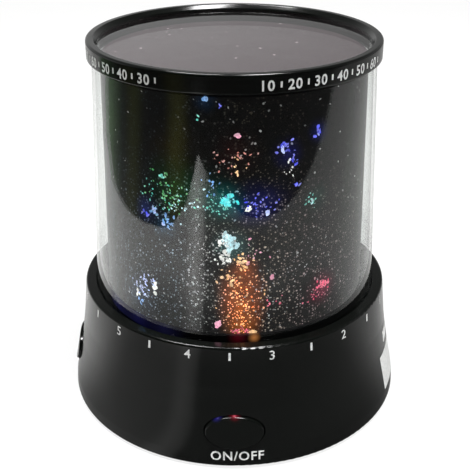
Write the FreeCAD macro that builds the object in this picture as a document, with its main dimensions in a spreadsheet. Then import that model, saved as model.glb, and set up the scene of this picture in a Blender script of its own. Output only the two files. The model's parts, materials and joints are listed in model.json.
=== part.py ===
import FreeCAD, Part
import math
import os
import re
import Sketcher

# Star projector lamp, in millimetres. +Z is up, the origin lies on the table under the
# centre of the lamp, and the front button faces -Y. Azimuths are in degrees from the
# front towards +X. A formula names the sizes below; dimension() and bind() read it.
SIZES = {
    # clear cover: the diameter that the base, the drum and the ring all follow
    "cover_radius": 47.8,
    "cover_draft": 3.3,
    "cover_wall": 1.0,
    "cover_height": 80.9,
    "cover_top_thickness": 1.8,
    "cover_gap": 0.35,
    "seat_gap": 0.3,
    "groove_depth": 5.5,
    "cover_edge_round": 0.4,
    # black ring on top of the cover
    "ring_skirt": 3.7,
    "ring_wall": 1.6,
    "ring_rise": 2.0,
    "ring_lip_width": 2.35,
    "ring_slope_width": 1.2,
    "ring_slope_drop": 1.3,
    "ring_round": 0.7,
    # base shell
    "base_height": 40.8,
    "ledge_width": 3.45,
    "collar_flare": 1.45,
    "collar_height": 13.8,
    "hip_flare": 1.25,
    "hip_drop": 8.0,
    "skirt_flare": 2.9,
    "foot_band": 3.7,
    "foot_taper": 0.3,
    "foot_stand": 0.8,
    "shell_wall": 2.2,
    "rim_round": 0.8,
    "edge_round": 0.3,
    "groove_floor": 2.4,
    "groove_lip": 2.0,
    "deck_thickness": 2.4,
    "wire_hole_radius": 6.5,
    # collar on the deck that the star drum turns on, set in from the drum's outside
    "pivot_inset": 13.5,
    "pivot_wall": 1.6,
    "pivot_rise": 3.0,
    "running_gap": 0.08,
    # star drum
    "drum_gap": 3.1,
    "drum_draft": 1.6,
    "drum_wall": 0.8,
    "drum_top_gap": 1.8,
    "film_disc_thickness": 0.8,
    "carrier_rim_width": 0.8,
    "carrier_rim_height": 3.6,
    "carrier_floor": 2.2,
    "fit_gap": 0.1,
    # bottom plate, its feet and screws
    "plate_thickness": 2.6,
    "plate_gap": 0.2,
    "foot_pad_radius": 4.5,
    "foot_pad_recess": 1.0,
    "foot_pad_inset": 8.0,
    "boss_radius": 3.2,
    "boss_inset": 0.6,
    "screw_post_angle": 35.0,
    "base_screw_radius": 1.45,
    "base_screw_head_radius": 2.8,
    "base_screw_head": 1.4,
    "base_screw_length": 12.0,
    "screw_slot_width": 0.6,
    # battery bay: three AA cells side by side
    "cell_radius": 7.25,
    "cell_length": 50.5,
    "cell_nub_radius": 2.75,
    "cell_nub": 1.0,
    "cell_edge_round": 0.6,
    "cell_spacing": 15.1,
    "cell_clearance": 0.5,
    "spring_length": 7.5,
    "spring_radius": 3.6,
    "spring_tip_radius": 2.6,
    "contact_thickness": 0.5,
    "contact_width": 10.0,
    "contact_tab_width": 3.0,
    "contact_tab_rise": 1.6,
    "bay_wall": 1.5,
    # battery door
    "door_thickness": 2.0,
    "door_margin": 2.4,
    "door_gap": 0.35,
    "door_pin_radius": 0.6,
    "door_pin_length": 1.6,
    "door_tongue_width": 3.0,
    "door_tongue_thickness": 1.1,
    "door_tongue_height": 2.2,
    "door_grip_radius": 5.0,
    "door_grip_depth": 0.8,
    "door_surround": 1.8,
    # control board over the battery bay, set in from the bay's outer faces
    "board_side_setback": 1.35,
    "board_end_setback": 4.0,
    "board_thickness": 1.6,
    "board_corner": 2.0,
    "standoff_height": 2.6,
    "standoff_radius": 2.6,
    "standoff_inset": 4.0,
    "board_screw_radius": 1.0,
    "board_screw_head_radius": 1.9,
    "board_screw_head": 1.3,
    "board_screw_length": 3.0,
    "chip_length": 19.0,
    "chip_width": 6.4,
    "chip_height": 3.4,
    "chip_place": 12.5,
    "chip_leg_pitch": 2.54,
    "chip_leg_width": 0.5,
    "chip_leg_reach": 0.8,
    "capacitor_radius": 4.0,
    "capacitor_height": 8.0,
    "capacitor_place": 12.0,
    "resistor_radius": 1.15,
    "resistor_length": 6.0,
    "resistor_pitch": 4.0,
    "resistor_place": 12.5,
    "transistor_width": 4.4,
    "transistor_depth": 3.4,
    "transistor_height": 4.6,
    "transistor_pitch": 6.0,
    "transistor_place": 8.5,
    "connector_length": 14.0,
    "connector_width": 5.0,
    "connector_height": 6.0,
    # lamp post and its four light-emitting diodes
    "post_radius": 8.5,
    "post_height": 9.2,
    "post_flange_radius": 12.5,
    "post_flange": 2.4,
    "lamp_board_radius": 13.0,
    "post_screw_circle": 10.5,
    "post_screw_length": 4.0,
    "lamp_screw_length": 3.2,
    "led_radius": 2.5,
    "led_height": 8.6,
    "led_rim_radius": 2.9,
    "led_rim": 1.0,
    "led_circle": 6.5,
    "led_wire_radius": 0.6,
    "led_wire_pitch": 2.4,
    # push buttons and the switches behind them
    "button_width": 18.6,
    "button_height": 10.8,
    "button_centre": 12.5,
    "button_proud": 0.9,
    "button_gap": 0.4,
    "button_flange": 1.4,
    "button_flange_width": 1.4,
    "button_back_gap": 0.45,
    "button_round": 0.5,
    "button_travel": 1.0,
    "front_azimuth": 0.0,
    "left_azimuth": -88.0,
    "plunger_radius": 1.75,
    "plunger_length": 2.9,
    "switch_body": 6.2,
    "switch_depth": 3.8,
    "switch_board_width": 16.0,
    "switch_board_height": 12.0,
    "switch_board_thickness": 1.2,
    "bracket_width": 12.0,
    "bracket_depth": 2.4,
    "bracket_drop": 3.0,
    "wire_radius": 0.55,
    "wire_pitch": 3.0,
    "wire_clearance": 4.0,
    "wire_bend_share": 0.45,
    # power inlet at the back
    "inlet_width": 9.0,
    "inlet_height": 10.6,
    "inlet_depth": 8.0,
    "inlet_centre": 12.9,
    "inlet_nose_radius": 4.2,
    "inlet_bore_radius": 2.9,
    "inlet_bore_depth": 9.0,
    "inlet_pin_radius": 1.0,
    "inlet_pin_setback": 1.5,
    # cuts run past the faces that they leave by this much
    "overrun": 2.0,
}

RESISTOR_COUNT = 5
TRANSISTOR_COUNT = 3
LED_WIRE_COUNT = 5
CHIP_LEGS_A_SIDE = 7
PARTS_FOLDER = "parts"
# the axes that pieces are turned about
UPRIGHT = (0, 0, 1)
ALONG_X = (0, 1, 0)
ALONG_Y = (1, 0, 0)

doc = FreeCAD.newDocument("StarProjector")
nodes = []


def make_sheet():
    """The spreadsheet that holds every driving dimension, one row each."""
    sheet = doc.addObject("Spreadsheet::Sheet", "Sizes")
    for row, (name, size) in enumerate(SIZES.items(), start=1):
        sheet.set(f"A{row}", name)
        sheet.set(f"B{row}", str(size))
        sheet.setAlias(f"B{row}", name)
    doc.recompute()
    return sheet


sheet = make_sheet()


def dimension(name):
    """A size as the sheet holds it."""
    return float(sheet.get(name))


def formula(text):
    """The same formula with each size named by its cell in the sheet."""
    return re.sub(r"[a-z]\w+", lambda word: "Sizes." + word[0] if word[0] in SIZES else word[0], text)


def bind(item, formulas):
    """Ties properties to formulas of the sizes."""
    for prop, text in formulas.items():
        item.setExpression(prop, formula(text))
    return item


def place(item, x="0", y="0", z="0", turn="0", axis=UPRIGHT):
    """Moves an object to a point, after turning it about an axis through its own origin."""
    item.Placement = FreeCAD.Placement(FreeCAD.Vector(), FreeCAD.Rotation(FreeCAD.Vector(*axis), 1))
    return bind(item, {
        "Placement.Base.x": x,
        "Placement.Base.y": y,
        "Placement.Base.z": z,
        "Placement.Rotation.Angle": turn,
    })


def cylinder(name, radius, height, x="0", y="0", z="0", turn="0", axis=UPRIGHT):
    item = doc.addObject("Part::Cylinder", name)
    bind(item, {"Radius": radius, "Height": height})
    return place(item, x, y, z, turn, axis)


def cone(name, low_radius, high_radius, height, x="0", y="0", z="0", turn="0", axis=UPRIGHT):
    item = doc.addObject("Part::Cone", name)
    bind(item, {"Radius1": low_radius, "Radius2": high_radius, "Height": height})
    return place(item, x, y, z, turn, axis)


def block(name, width, depth, height, x="0", y="0", z="0"):
    """A box centred on x and y that stands on z."""
    item = doc.addObject("Part::Box", name)
    bind(item, {"Length": width, "Width": depth, "Height": height})
    return place(item, f"{x} - ({width}) / 2", f"{y} - ({depth}) / 2", z)


def fuse(name, pieces):
    item = doc.addObject("Part::MultiFuse", name)
    item.Shapes = pieces
    return item


def cut(name, base, tools):
    item = doc.addObject("Part::Cut", name)
    item.Base = base
    item.Tool = tools[0] if len(tools) == 1 else fuse(name + "_tools", tools)
    return item


def gather(name, pieces):
    """Separate solids that count as one sub-part, such as a set of like screws."""
    item = doc.addObject("Part::Compound", name)
    item.Links = pieces
    return item


def turned(name, outline):
    """A body turned about Z, from the formulas of its outline's radii and heights."""
    body = doc.addObject("PartDesign::Body", name)
    sketch = body.newObject("Sketcher::SketchObject", name + "_outline")
    plane = [item for item in body.Origin.OriginFeatures if item.Role == "XZ_Plane"][0]
    sketch.AttachmentSupport = [(plane, "")]
    sketch.MapMode = "FlatFace"
    count = len(outline)
    # corners start evenly round a circle, and the constraints move them to their places
    corners = [FreeCAD.Vector(math.cos(math.tau * k / count), math.sin(math.tau * k / count), 0)
               for k in range(count)]
    sketch.addGeometry([Part.LineSegment(corners[k], corners[(k + 1) % count]) for k in range(count)], False)
    constraints = [Sketcher.Constraint("Coincident", k, 2, (k + 1) % count, 1) for k in range(count)]
    for k, corner in enumerate(corners):
        constraints.append(Sketcher.Constraint("DistanceX", -1, 1, k, 1, corner.x))
        constraints.append(Sketcher.Constraint("DistanceY", -1, 1, k, 1, corner.y))
    sketch.addConstraint(constraints)
    for k, (radius, height) in enumerate(outline):
        sketch.setExpression(f"Constraints[{count + 2 * k}]", formula(radius))
        sketch.setExpression(f"Constraints[{count + 2 * k + 1}]", formula(height))
    revolution = body.newObject("PartDesign::Revolution", name + "_turn")
    revolution.Profile = sketch
    revolution.ReferenceAxis = (sketch, ["V_Axis"])
    revolution.Angle = 360
    return body


def rings_at(shape, radius, height):
    """Names of the round edges with one radius and one height."""
    near = dimension("running_gap") / 2
    names = []
    for number, edge in enumerate(shape.Edges, start=1):
        if not isinstance(edge.Curve, Part.Circle):
            continue
        same_radius = abs(edge.Curve.Radius - radius) < near
        if same_radius and abs(edge.Curve.Center.z - height) < near:
            names.append(f"Edge{number}")
    return names


def round_rings(body, name, rings, size):
    """Rounds the round edges of a turned body that lie at these radii and heights."""
    doc.recompute()
    base = body.Tip
    edges = [edge for radius, height in rings for edge in rings_at(base.Shape, radius, height)]
    fillet = body.newObject("PartDesign::Fillet", name)
    fillet.Base = (base, edges)
    bind(fillet, {"Radius": size})
    doc.recompute()
    return body


def sub_part(name, item):
    """Keeps an object as a sub-part, under the name that its file gets."""
    item.Label = name
    nodes.append((name, item))
    return item


# heights and radii that several sub-parts share, as formulas
RIM_RADIUS = "(cover_radius + cover_gap + ledge_width)"
WAIST_RADIUS = f"({RIM_RADIUS} + collar_flare)"
HIP_RADIUS = f"({WAIST_RADIUS} + hip_flare)"
SKIRT_RADIUS = f"({HIP_RADIUS} + skirt_flare)"
BASE_RADIUS = f"({SKIRT_RADIUS} + foot_taper)"
GROOVE_FLOOR_Z = "(base_height - groove_depth)"
DECK_Z = f"({GROOVE_FLOOR_Z} + groove_lip)"
DECK_UNDER_Z = f"({DECK_Z} - deck_thickness)"
GROOVE_IN_RADIUS = "(cover_radius - cover_wall - cover_gap)"
WAIST_Z = "(base_height - collar_height)"
HIP_Z = f"({WAIST_Z} - hip_drop)"
BAND_Z = "(foot_stand + foot_band)"
COVER_TOP_RADIUS = "(cover_radius - cover_draft)"
COVER_TOP_Z = "(base_height + cover_height)"
COVER_UNDER_Z = f"({COVER_TOP_Z} - cover_top_thickness)"
DRUM_RADIUS = "(cover_radius - cover_wall - drum_gap)"
CARRIER_Z = f"({DECK_Z} + seat_gap)"
DRUM_FOOT_Z = f"({CARRIER_Z} + carrier_floor)"
DRUM_TOP_Z = f"({COVER_UNDER_Z} - drum_top_gap - film_disc_thickness)"
DRUM_TOP_RADIUS = f"({DRUM_RADIUS} - drum_draft)"
PIVOT_RADIUS = f"({DRUM_RADIUS} - pivot_inset)"
PLATE_TOP_Z = "(foot_stand + plate_thickness)"
PLATE_MIDDLE_Z = "(foot_stand + plate_thickness / 2)"
BOSS_CIRCLE = "(cover_radius - boss_inset)"
DOOR_TOP_Z = "(foot_stand + door_thickness)"
BAY_FLOOR_Z = f"({DOOR_TOP_Z} + door_gap)"
CELL_Z = f"({BAY_FLOOR_Z} + cell_radius)"
BAY_TOP_Z = f"({CELL_Z} + cell_radius + cell_clearance)"
ROOF_Z = f"({BAY_TOP_Z} + bay_wall)"
BAY_WIDTH = "(2 * cell_spacing + 2 * cell_radius + 2 * cell_clearance)"
BAY_LENGTH = "(cell_length + spring_length + 2 * contact_thickness)"
TOWER_WIDTH = f"({BAY_WIDTH} + 2 * bay_wall)"
TOWER_LENGTH = f"({BAY_LENGTH} + 2 * bay_wall)"
DOOR_WIDTH = f"({BAY_WIDTH} + 2 * door_margin)"
DOOR_LENGTH = f"({BAY_LENGTH} + 2 * door_margin)"
BOARD_WIDTH = f"({TOWER_WIDTH} - 2 * board_side_setback)"
BOARD_LENGTH = f"({TOWER_LENGTH} - 2 * board_end_setback)"
BOARD_Z = f"({ROOF_Z} + standoff_height)"
BOARD_TOP_Z = f"({BOARD_Z} + board_thickness)"
POST_TOP_Z = f"({DECK_Z} + post_height)"
LAMP_BOARD_TOP_Z = f"({POST_TOP_Z} + board_thickness)"
# the four screw posts, as angles from the X axis: clear of the buttons and the ends of the bay
POST_ANGLES = (
    "screw_post_angle",
    "(180 - screw_post_angle)",
    "(180 + screw_post_angle)",
    "(360 - screw_post_angle)",
)
# the shell's outer wall leans outwards below the hip, by this much for each unit down
WALL_LEAN = f"(skirt_flare / ({HIP_Z} - {BAND_Z}))"
BUTTON_WALL_RADIUS = f"({HIP_RADIUS} + ({HIP_Z} - button_centre) * {WALL_LEAN})"
WALL_DROP = f"((button_height / 2 + button_flange_width) * {WALL_LEAN})"
WALL_INSIDE = f"({BUTTON_WALL_RADIUS} - {WALL_DROP} - shell_wall)"
# the flange is flat and the wall behind it is curved, so it stands back by the wall's bow
FLANGE_HALF = "(button_width / 2 + button_flange_width)"
FLANGE_FRONT = f"(sqrt({WALL_INSIDE} ^ 2 - {FLANGE_HALF} ^ 2 / 4) - button_back_gap)"
FLANGE_BACK = f"({FLANGE_FRONT} - button_flange)"
SWITCH_FRONT = f"({FLANGE_BACK} - button_travel - button_gap)"
SWITCH_BACK = f"({SWITCH_FRONT} - switch_depth)"
SWITCH_BOARD_BACK = f"({SWITCH_BACK} - switch_board_thickness)"


def outer_skin(name, proud="0"):
    """The base's outside as a turned solid, set outwards by a formula."""
    return turned(name, [
        ("0", "foot_stand"),
        (f"{BASE_RADIUS} + {proud}", "foot_stand"),
        (f"{SKIRT_RADIUS} + {proud}", BAND_Z),
        (f"{HIP_RADIUS} + {proud}", HIP_Z),
        (f"{WAIST_RADIUS} + {proud}", WAIST_Z),
        (f"{RIM_RADIUS} + {proud}", "base_height"),
        ("0", "base_height"),
    ])


def oval(name, grow, start, length):
    """An oval bar along the front-to-back line, from one radius outwards."""
    face = doc.addObject("Part::Ellipse", name + "_face")
    bind(face, {"MajorRadius": f"button_width / 2 + {grow}", "MinorRadius": f"button_height / 2 + {grow}"})
    place(face, y=f"-({start})", z="button_centre", turn="90", axis=ALONG_Y)
    bar = doc.addObject("Part::Extrusion", name)
    bar.Base = face
    bar.Solid = True
    bar.DirMode = "Custom"
    bar.Dir = FreeCAD.Vector(0, -1, 0)
    return bind(bar, {"LengthFwd": length})


def screw(name, head_radius, head, radius, length, x, y, z, down=True):
    """A slotted screw whose head sits on z; down is the way that its shank points."""
    way = "-" if down else "+"
    back = "+" if down else "-"
    cap_z = z if down else f"{z} - {head}"
    shank_z = f"{z} - {length}" if down else z
    slot_z = f"{z} {back} {head} / 2" if down else f"{z} {way} -{head}"
    cap = cylinder(name + "_head", head_radius, head, x, y, cap_z)
    shank = cylinder(name + "_shank", radius, length, x, y, shank_z)
    slot = block(name + "_slot", f"2 * {head_radius}", "screw_slot_width", f"{head} / 2", x, y, slot_z)
    return cut(name, fuse(name + "_blank", [cap, shank]), [slot])


def at_angle(radius, degrees):
    """The x and y formulas of a point on a circle, with 0 degrees along +X."""
    return f"({radius} * cos({degrees} * 1 deg))", f"({radius} * sin({degrees} * 1 deg))"


def clear_cover():
    cover = turned("clear_cover", [
        ("cover_radius - cover_wall", f"{GROOVE_FLOOR_Z} + seat_gap"),
        ("cover_radius", f"{GROOVE_FLOOR_Z} + seat_gap"),
        ("cover_radius", "base_height"),
        (COVER_TOP_RADIUS, COVER_TOP_Z),
        ("0", COVER_TOP_Z),
        ("0", COVER_UNDER_Z),
        (f"{COVER_TOP_RADIUS} - cover_wall", COVER_UNDER_Z),
        ("cover_radius - cover_wall", "base_height"),
    ])
    top_radius = dimension("cover_radius") - dimension("cover_draft")
    top_height = dimension("base_height") + dimension("cover_height")
    round_rings(cover, "cover_edge", [(top_radius, top_height)], "cover_edge_round")
    return sub_part("clear_cover", cover)


def cap_ring():
    """The ring over the cover's top edge: a skirt outside it and a raised lip above."""
    inner_radius = f"({COVER_TOP_RADIUS} + fit_gap + ring_wall - ring_lip_width - ring_slope_width)"
    outer_radius = f"({COVER_TOP_RADIUS} + fit_gap + ring_wall)"
    foot_z = f"({COVER_TOP_Z} - ring_skirt)"
    top_z = f"({COVER_TOP_Z} + ring_rise)"
    bore_radius = f"({COVER_TOP_RADIUS} + fit_gap)"
    foot_bore_radius = f"({bore_radius} + cover_draft * ring_skirt / cover_height)"
    ring = turned("cap_ring", [
        (foot_bore_radius, foot_z),
        (outer_radius, foot_z),
        (outer_radius, top_z),
        (f"{outer_radius} - ring_lip_width", top_z),
        (inner_radius, f"{top_z} - ring_slope_drop"),
        (inner_radius, COVER_TOP_Z),
        (bore_radius, COVER_TOP_Z),
    ])
    radius = dimension("cover_radius") - dimension("cover_draft")
    radius += dimension("fit_gap") + dimension("ring_wall")
    height = dimension("base_height") + dimension("cover_height")
    round_rings(ring, "ring_top", [(radius, height + dimension("ring_rise"))], "ring_round")
    round_rings(ring, "ring_foot", [(radius, height - dimension("ring_skirt"))], "edge_round")
    return sub_part("cap_ring", ring)


def star_drum():
    return sub_part("star_drum", turned("star_drum", [
        (f"{DRUM_RADIUS} - drum_wall", DRUM_FOOT_Z),
        (DRUM_RADIUS, DRUM_FOOT_Z),
        (DRUM_TOP_RADIUS, DRUM_TOP_Z),
        (f"{DRUM_TOP_RADIUS} - drum_wall", DRUM_TOP_Z),
    ]))


def star_disc():
    """The printed disc that closes the top of the drum."""
    disc = cylinder("star_disc", DRUM_TOP_RADIUS, "film_disc_thickness", z=DRUM_TOP_Z)
    return sub_part("star_disc", disc)


def drum_carrier():
    """The black ring that holds the drum's foot and turns on the deck's collar."""
    rim_radius = f"({DRUM_RADIUS} + fit_gap)"
    bore_radius = f"({PIVOT_RADIUS} + running_gap)"
    return sub_part("drum_carrier", turned("drum_carrier", [
        (bore_radius, CARRIER_Z),
        (f"{rim_radius} + carrier_rim_width", CARRIER_Z),
        (f"{rim_radius} + carrier_rim_width", f"{CARRIER_Z} + carrier_rim_height"),
        (rim_radius, f"{CARRIER_Z} + carrier_rim_height"),
        (rim_radius, DRUM_FOOT_Z),
        (bore_radius, DRUM_FOOT_Z),
    ]))


def base_shell():
    """The flared black housing: rim, cover groove, deck, collar and screw posts in one moulding."""
    groove_out = "(cover_radius + cover_gap)"
    floor_under = f"({GROOVE_FLOOR_Z} - groove_floor)"
    step_radius = f"({GROOVE_IN_RADIUS} - groove_lip)"
    blank = turned("shell_blank", [
        (BASE_RADIUS, "foot_stand"),
        (SKIRT_RADIUS, BAND_Z),
        (HIP_RADIUS, HIP_Z),
        (WAIST_RADIUS, WAIST_Z),
        (RIM_RADIUS, "base_height"),
        (groove_out, "base_height"),
        (groove_out, GROOVE_FLOOR_Z),
        (GROOVE_IN_RADIUS, GROOVE_FLOOR_Z),
        (GROOVE_IN_RADIUS, DECK_Z),
        (PIVOT_RADIUS, DECK_Z),
        (PIVOT_RADIUS, f"{DECK_Z} + pivot_rise"),
        (f"{PIVOT_RADIUS} - pivot_wall", f"{DECK_Z} + pivot_rise"),
        (f"{PIVOT_RADIUS} - pivot_wall", DECK_Z),
        ("wire_hole_radius", DECK_Z),
        ("wire_hole_radius", DECK_UNDER_Z),
        (step_radius, DECK_UNDER_Z),
        (step_radius, floor_under),
        (f"{WAIST_RADIUS} - shell_wall - collar_flare / 2", floor_under),
        (f"{WAIST_RADIUS} - shell_wall", WAIST_Z),
        (f"{HIP_RADIUS} - shell_wall", HIP_Z),
        (f"{SKIRT_RADIUS} - shell_wall", BAND_Z),
        (f"{BASE_RADIUS} - shell_wall", "foot_stand"),
    ])
    rim = dimension("cover_radius") + dimension("cover_gap") + dimension("ledge_width")
    base = rim + dimension("collar_flare") + dimension("hip_flare") + dimension("skirt_flare")
    base += dimension("foot_taper")
    top = dimension("base_height")
    groove = dimension("cover_radius") + dimension("cover_gap")
    round_rings(blank, "shell_rim", [(rim, top)], "rim_round")
    round_rings(blank, "shell_edges", [(groove, top), (base, dimension("foot_stand"))], "edge_round")
    posts = []
    for number, angle in enumerate(POST_ANGLES):
        x, y = at_angle(BOSS_CIRCLE, angle)
        tall = f"{DECK_UNDER_Z} - {PLATE_TOP_Z} - plate_gap"
        posts.append(cylinder(f"screw_post_{number}", "boss_radius", tall, x, y,
                              f"{PLATE_TOP_Z} + plate_gap"))
    body = fuse("shell_body", [blank] + posts)
    cuts = []
    for number, angle in enumerate(POST_ANGLES):
        x, y = at_angle(BOSS_CIRCLE, angle)
        cuts.append(cylinder(f"post_bore_{number}", "base_screw_radius + running_gap",
                             "base_screw_length", x, y, f"{PLATE_TOP_Z} + plate_gap - overrun"))
    for name, azimuth in BUTTONS.items():
        hole = oval(f"{name}_hole", "button_gap", f"{SWITCH_FRONT} - overrun", "base_height")
        place(hole, turn=azimuth)
        cuts.append(hole)
    cuts.append(cylinder("inlet_hole", "inlet_nose_radius + fit_gap", "base_height",
                         y=f"{FLANGE_BACK} - overrun", z="inlet_centre", turn="-90", axis=ALONG_Y))
    for side in (-1, 1):
        cuts.append(cylinder(f"post_screw_bore_{side + 1}", "board_screw_radius + running_gap",
                             "deck_thickness + 2 * overrun", y=f"{side} * post_screw_circle",
                             z=f"{DECK_UNDER_Z} - overrun"))
    return sub_part("base_shell", cut("base_shell", body, cuts))


def bottom_plate():
    """The plate that closes the base, with the battery bay, standoffs and switch brackets."""
    plate = turned("plate_disc", [
        ("0", "foot_stand"),
        (f"{BASE_RADIUS} - shell_wall - plate_gap", "foot_stand"),
        (f"{SKIRT_RADIUS} - shell_wall - plate_gap", PLATE_TOP_Z),
        ("0", PLATE_TOP_Z),
    ])
    surround_top = f"({BAY_FLOOR_Z} + door_surround)"
    surround = block("bay_surround", f"{DOOR_WIDTH} + 2 * door_gap + 2 * door_surround",
                     f"{DOOR_LENGTH} + 2 * door_gap + 2 * door_surround",
                     f"{surround_top} - foot_stand", z="foot_stand")
    tower = block("bay_tower", TOWER_WIDTH, TOWER_LENGTH, f"{ROOF_Z} - foot_stand", z="foot_stand")
    pieces = [plate, surround, tower]
    cuts = [
        block("bay_space", BAY_WIDTH, BAY_LENGTH, f"{BAY_TOP_Z} - foot_stand + overrun",
              z="foot_stand - overrun"),
        block("door_space", f"{DOOR_WIDTH} + 2 * door_gap", f"{DOOR_LENGTH} + 2 * door_gap",
              f"{BAY_FLOOR_Z} - foot_stand + overrun", z="foot_stand - overrun"),
        cylinder("hinge_socket", "door_pin_radius + running_gap",
                 f"{DOOR_WIDTH} + 2 * door_pin_length + 2 * fit_gap",
                 x=f"-({DOOR_WIDTH}) / 2 - door_pin_length - fit_gap", y=DOOR_AXIS_Y, z=DOOR_AXIS_Z,
                 turn="90", axis=ALONG_X),
    ]
    for across in (-1, 1):
        for along in (-1, 1):
            tag = f"{across + 1}{along + 1}"
            x = f"{across} * ({BOARD_WIDTH} / 2 - standoff_inset)"
            y = f"{along} * ({BOARD_LENGTH} / 2 - standoff_inset)"
            pieces.append(cylinder("standoff_" + tag, "standoff_radius", "standoff_height + bay_wall / 2",
                                   x, y, f"{ROOF_Z} - bay_wall / 2"))
            cuts.append(cylinder("standoff_bore_" + tag, "board_screw_radius + running_gap",
                                 "board_screw_length + overrun", x, y,
                                 f"{BOARD_TOP_Z} - board_screw_length - fit_gap"))
    for tag, x, way in CONTACT_TABS:
        cuts.append(block("tab_slot_" + tag, "contact_tab_width + 2 * fit_gap",
                          "contact_thickness + 2 * fit_gap", "2 * bay_wall + overrun", x,
                          f"{way} * ({BAY_LENGTH} / 2 - contact_thickness / 2 - fit_gap)",
                          f"{BAY_TOP_Z} - bay_wall"))
    for name, azimuth in BUTTONS.items():
        bracket = block(f"{name}_bracket", "bracket_width", "bracket_depth",
                        f"button_centre + switch_board_height / 2 - bracket_drop - {PLATE_MIDDLE_Z}",
                        y=f"-({SWITCH_BOARD_BACK} - bracket_depth / 2)", z=PLATE_MIDDLE_Z)
        pieces.append(place(gather(f"{name}_bracket_turned", [bracket]), turn=azimuth))
    pieces.append(block("inlet_pedestal", "inlet_width", "inlet_depth",
                        f"inlet_centre - inlet_height / 2 - {PLATE_MIDDLE_Z}",
                        y=f"{FLANGE_BACK} - inlet_depth / 2", z=PLATE_MIDDLE_Z))
    for number, angle in enumerate(POST_ANGLES):
        x, y = at_angle(BOSS_CIRCLE, angle)
        cuts.append(cylinder(f"plate_screw_hole_{number}", "base_screw_radius + fit_gap",
                             "plate_thickness + 2 * overrun", x, y, "foot_stand - overrun"))
        cuts.append(cylinder(f"plate_screw_recess_{number}", "base_screw_head_radius + fit_gap",
                             "base_screw_head + overrun", x, y, "foot_stand - overrun"))
    for quarter in range(4):
        x, y = at_angle(f"({BASE_RADIUS} - foot_pad_inset)", 90 * quarter)
        cuts.append(cylinder(f"foot_recess_{quarter}", "foot_pad_radius + fit_gap",
                             "foot_pad_recess + overrun", x, y, "foot_stand - overrun"))
    return sub_part("bottom_plate", cut("bottom_plate", fuse("bottom_body", pieces), cuts))


def rubber_feet():
    pads = []
    for quarter in range(4):
        x, y = at_angle(f"({BASE_RADIUS} - foot_pad_inset)", 90 * quarter)
        pads.append(cylinder(f"rubber_foot_{quarter}", "foot_pad_radius",
                             "foot_stand + foot_pad_recess", x, y))
    return sub_part("rubber_feet", gather("rubber_feet", pads))


def base_screws():
    screws = []
    for number, angle in enumerate(POST_ANGLES):
        x, y = at_angle(BOSS_CIRCLE, angle)
        screws.append(screw(f"base_screw_{number}", "base_screw_head_radius", "base_screw_head",
                            "base_screw_radius", "base_screw_length - overrun", x, y,
                            "(foot_stand + base_screw_head)", down=False))
    return sub_part("base_screws", gather("base_screws", screws))


def battery(number, x, way):
    """One AA cell along Y, with its nub pointing the way given."""
    cell = turned(f"battery_{number}", [
        ("0", "0"),
        ("cell_radius", "0"),
        ("cell_radius", "cell_length - cell_nub"),
        ("cell_nub_radius", "cell_length - cell_nub"),
        ("cell_nub_radius", "cell_length"),
        ("0", "cell_length"),
    ])
    radius = dimension("cell_radius")
    shoulder = dimension("cell_length") - dimension("cell_nub")
    round_rings(cell, f"cell_{number}_edges", [(radius, shoulder), (radius, 0)], "cell_edge_round")
    start = f"{way} * ({BAY_LENGTH} / 2 - contact_thickness - cell_length)"
    place(cell, x, start, CELL_Z, f"{-90 * way}", ALONG_Y)
    return sub_part(f"battery_{number}", cell)


def battery_springs():
    springs = []
    for number, x, way in CELLS:
        base = f"{-way} * ({BAY_LENGTH} / 2 - contact_thickness)"
        springs.append(cone(f"battery_spring_{number}", "spring_radius", "spring_tip_radius", "spring_length",
                            x, base, CELL_Z, f"{-90 * way}", ALONG_Y))
    return sub_part("battery_springs", gather("battery_springs", springs))


def battery_contacts():
    """Plates at both ends of the bay: two single ones with tabs, two that join neighbours."""
    low = f"({CELL_Z} - contact_width / 2)"
    plates = []
    end = f"({BAY_LENGTH} / 2 - contact_thickness / 2)"
    bridge = "(cell_spacing + contact_width)"
    plates.append(block("contact_bridge_back", bridge, "contact_thickness", "contact_width",
                        "cell_spacing / 2", end, low))
    plates.append(block("contact_bridge_front", bridge, "contact_thickness", "contact_width",
                        "-cell_spacing / 2", f"-{end}", low))
    for tag, x, way in CONTACT_TABS:
        plate = block("contact_plate_" + tag, "contact_width", "contact_thickness", "contact_width",
                      x, f"{way} * {end}", low)
        tab = block("contact_tab_" + tag, "contact_tab_width", "contact_thickness",
                    f"{ROOF_Z} + contact_tab_rise - {low}", x, f"{way} * {end}", low)
        plates.append(fuse("contact_" + tag, [plate, tab]))
    return sub_part("battery_contacts", gather("battery_contacts", plates))


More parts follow.
